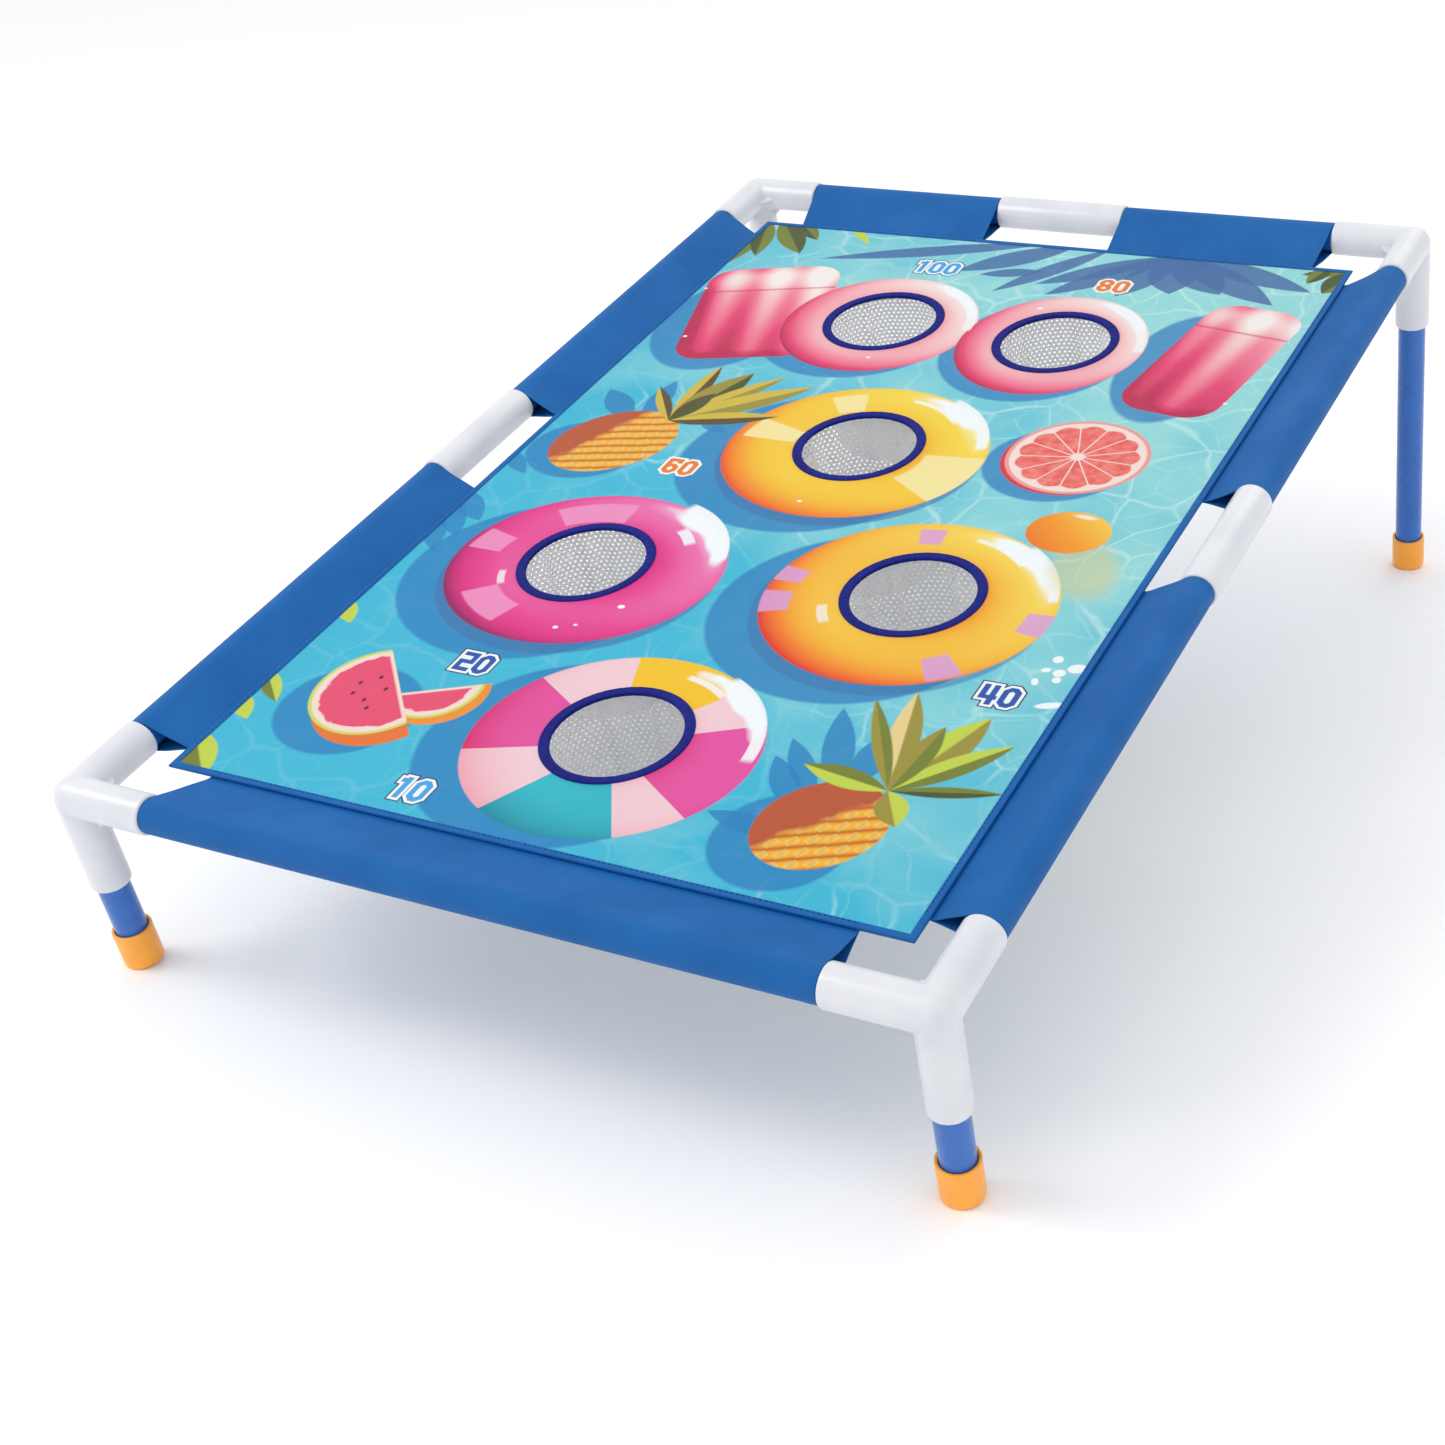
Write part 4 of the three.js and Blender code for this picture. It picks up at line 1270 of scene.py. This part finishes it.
    # (ring, degrees, strength, spread, from, to): the glints on the rings.
    for ring, *glint in (
        (yellow, 62, 0.8, 20, 0.76, 0.8), (yellow, 38, 0.9, 26, 0.9, 0.985),
        (hot_pink, 44, 0.95, 27, 0.88, 0.99), (hot_pink, 45, 0.85, 9, 0.68, 0.76),
        (patched, 62, 0.8, 18, 0.78, 0.82), (patched, 34, 0.9, 22, 0.92, 0.985),
        (striped, 34, 0.9, 30, 0.9, 0.985), (striped, 68, 0.8, 14, 0.76, 0.81),
        (hot_pink, -152, 0.7, 9, 0.55, 0.6), (patched, -150, 0.6, 11, 0.53, 0.6),
        (pink_left, 32, 0.7, 30, 0.88, 0.98), (pink_right, 32, 0.7, 30, 0.88, 0.98),
    ):
        art.glint_on(*ring, *glint)
    for x, y, size in ((-67, -163, 2.6), (-98, -196, 2.0), (-86, -190, 1.4), (-12, -13, 1.8), (-248, 270, 1.5),
                       (-222, 190, 1.8), (50, 205, 1.8), (-58, 190, 1.6), (230, 180, 1.6), (42, 292, 2.2)):
        art.disc((x, y), (size, size * 0.8), WHITE, soft=0.8)

    grapefruit(art, (155, 87.5), (51, 49))
    art.disc((212, -44), (22, 34), srgb(226, 206, 110), turn=24, soft=12, strength=0.5)
    round_orange = art.seen_from((185.7, -5), (29, 25))
    lit = art.vector("DOT_PRODUCT", round_orange, (0.6, 0.5, 0))
    art.paint(art.inside(art.vector("LENGTH", round_orange), 0.03),
              art.stops(art.ramp(lit, -0.8, 0.8), [(0.0, srgb(246, 120, 8)), (0.5, srgb(253, 158, 18)),
                                                   (1.0, srgb(255, 204, 66))]))
    art.disc((190, 15), (8, 2.2), WHITE, turn=-4, soft=1.5, strength=0.7)

    pineapple(art, (-191, 29), (50, 41), 48, (-165, 66), (
        ((-166, 152), 8, GOLD_LEAF, BROWN_LEAF), ((-135, 147), 14, CROWN_LEAF, DARK_LEAF),
        ((-107, 147), 9, GOLD_LEAF, CROWN_LEAF), ((-78, 137), 12, GOLD_LEAF, CROWN_LEAF),
        ((-199, 111), 6, GOLD_LEAF, BROWN_LEAF), ((-120, 78), 7, BROWN_LEAF, DARK_LEAF),
        ((-84, 91), 9, GOLD_LEAF, BROWN_LEAF), ((-150, 112), 8, BROWN_LEAF, DARK_LEAF),
    ), (0.35, -0.9), -0.35)
    watermelon(art)
    pineapple(art, (165.3, -325.8), (42, 37), 55, (189, -287), (
        ((165, -195), 10, srgb(240, 210, 140), CROWN_LEAF), ((143, -208), 6, CROWN_LEAF, OLIVE),
        ((219, -207), 14, LIME, CROWN_LEAF), ((243, -228), 9, LIME, OLIVE), ((196, -222), 9, CROWN_LEAF, OLIVE),
        ((254, -271), 5, OLIVE, DARK_LEAF), ((130, -278), 9, LIME, OLIVE), ((207, -315), 10, LIME, CROWN_LEAF),
    ), (-0.1, -0.9), -0.1)
    for x, y, wide, tall in ((234, -141, 3.4, 3.6), (249, -147, 6, 4.5), (240, -154, 4, 3.6), (231, -153, 3, 2.2),
                             (241, -161, 2.8, 3), (229, -166, 2.2, 3.6), (247, -186, 9, 3)):
        art.disc((x, y), (wide, tall), WHITE, turn=20, soft=0.8)

    light_blue, dark_blue, orange = srgb(70, 164, 226), srgb(26, 82, 172), srgb(244, 126, 26)
    for text, centre, fill, rim in (
        ("100", (-70, 342.7), light_blue, srgb(52, 72, 110)), ("80", (84.8, 338.2), orange, None),
        ("60", (-121, 7.7), orange, None), ("40", (214, -185.3), dark_blue, srgb(26, 32, 62)),
        ("20", (-127.8, -246.3), dark_blue, srgb(26, 32, 62)),
        ("10", (-89.7, -370.3), light_blue, srgb(40, 54, 90)),
    ):
        art.number(text, centre, fill, rim)

    # The dye is on the upper face only, and shows through the cloth as a pale tone from below.
    upper = art.ramp(art.vector("DOT_PRODUCT", art.normal, (0, 0, 1)), -0.1, 0.1)
    x, y = art.split(art.spot)[:2]
    weave = art.math("SINE", x * (2 * math.pi / 0.8)) * art.math("SINE", y * (2 * math.pi / 0.8))
    reverse = art.mix(0.62, art.picture, srgb(206, 226, 232))
    art.set(Base_Color=art.mix(upper, reverse, art.vector("MULTIPLY", art.picture, INK_STRENGTH)))
    art.set(Roughness=art.ramp(art.noise(art.spot, 0.05, 3.0), 0.3, 0.7, 0.55, 0.68))
    art.bump(weave, 0.02)
    art.bump(art.noise(art.spot, 0.018, 2.0), 0.5)
    return art.material


def lay_flat_map(mesh):
    """A map with the upper face over most of it, and every other face in a thin strip beside that."""
    layer = mesh.uv_layers.new(name="OFBake")
    for polygon in mesh.polygons:
        upper = polygon.normal.z > 0.5
        for loop_index in polygon.loop_indices:
            spot = mesh.vertices[mesh.loops[loop_index].vertex_index].co
            across = (spot.x + PANEL_WIDTH / 2) / PANEL_WIDTH
            along = (spot.y + PANEL_LENGTH / 2) / PANEL_LENGTH
            edge = 0 if abs(polygon.normal.z) > 0.5 else 0.004
            layer.data[loop_index].uv = (
                (0.005 + 0.84 * across, 0.005 + 0.99 * along) if upper
                else (0.86 + edge + 0.13 * across, 0.005 + 0.99 * along)
            )


lay_flat_map(printed)
panel = piece("target_print", printed, pool_picture(), "board", ["printed_panel"])

# ---------------------------------------------------------------- floor and light

floor_low = cad_box[0].z


def floor_and_light():
    floor_finish = Finish("studio_floor", Base_Color=srgb(253, 253, 254), Roughness=0.7)
    spread = floor_finish.noise(floor_finish.place(), 0.4, 2.0)
    floor_finish.set(Roughness=floor_finish.ramp(spread, 0.3, 0.7, 0.65, 0.75))
    mesh = bpy.data.meshes.new("studio_floor")
    size = 14
    mesh.from_pydata(
        [(-size, -size, floor_low), (size, -size, floor_low), (size, size, floor_low), (-size, size, floor_low)],
        [], [(0, 1, 2, 3)],
    )
    floor = bpy.data.objects.new("studio_floor", mesh)
    mesh.materials.append(floor_finish.material)
    bpy.context.scene.collection.objects.link(floor)

    world = bpy.data.worlds.new("studio")
    world.use_nodes = True
    background = world.node_tree.nodes["Background"]
    background.inputs["Color"].default_value = (1, 1, 1, 1)
    background.inputs["Strength"].default_value = 0.95
    bpy.context.scene.world = world

    # (name, place, size, watts, tint): a broad key from the upper left, a soft fill and a back light.
    lights = (
        ("key", (-1.7, -1.3, 2.3), 1.3, 28, (1.0, 0.99, 0.975)),
        ("fill", (2.4, -0.8, 1.2), 1.6, 3, (0.97, 0.985, 1.0)),
        ("back", (0.4, 2.4, 2.2), 1.6, 8, (1.0, 1.0, 1.0)),
    )
    for name, place, size, watts, tint in lights:
        lamp = bpy.data.lights.new(name, "AREA")
        lamp.size, lamp.energy, lamp.color = size, watts, tint
        holder = bpy.data.objects.new(name, lamp)
        holder.location = place
        aim = Vector((0, 0, 0.15)) - Vector(place)
        holder.rotation_euler = aim.to_track_quat("-Z", "Y").to_euler()
        bpy.context.scene.collection.objects.link(holder)


floor_and_light()
bpy.context.scene.view_settings.view_transform = "Standard"
bpy.context.scene.view_settings.look = "None"
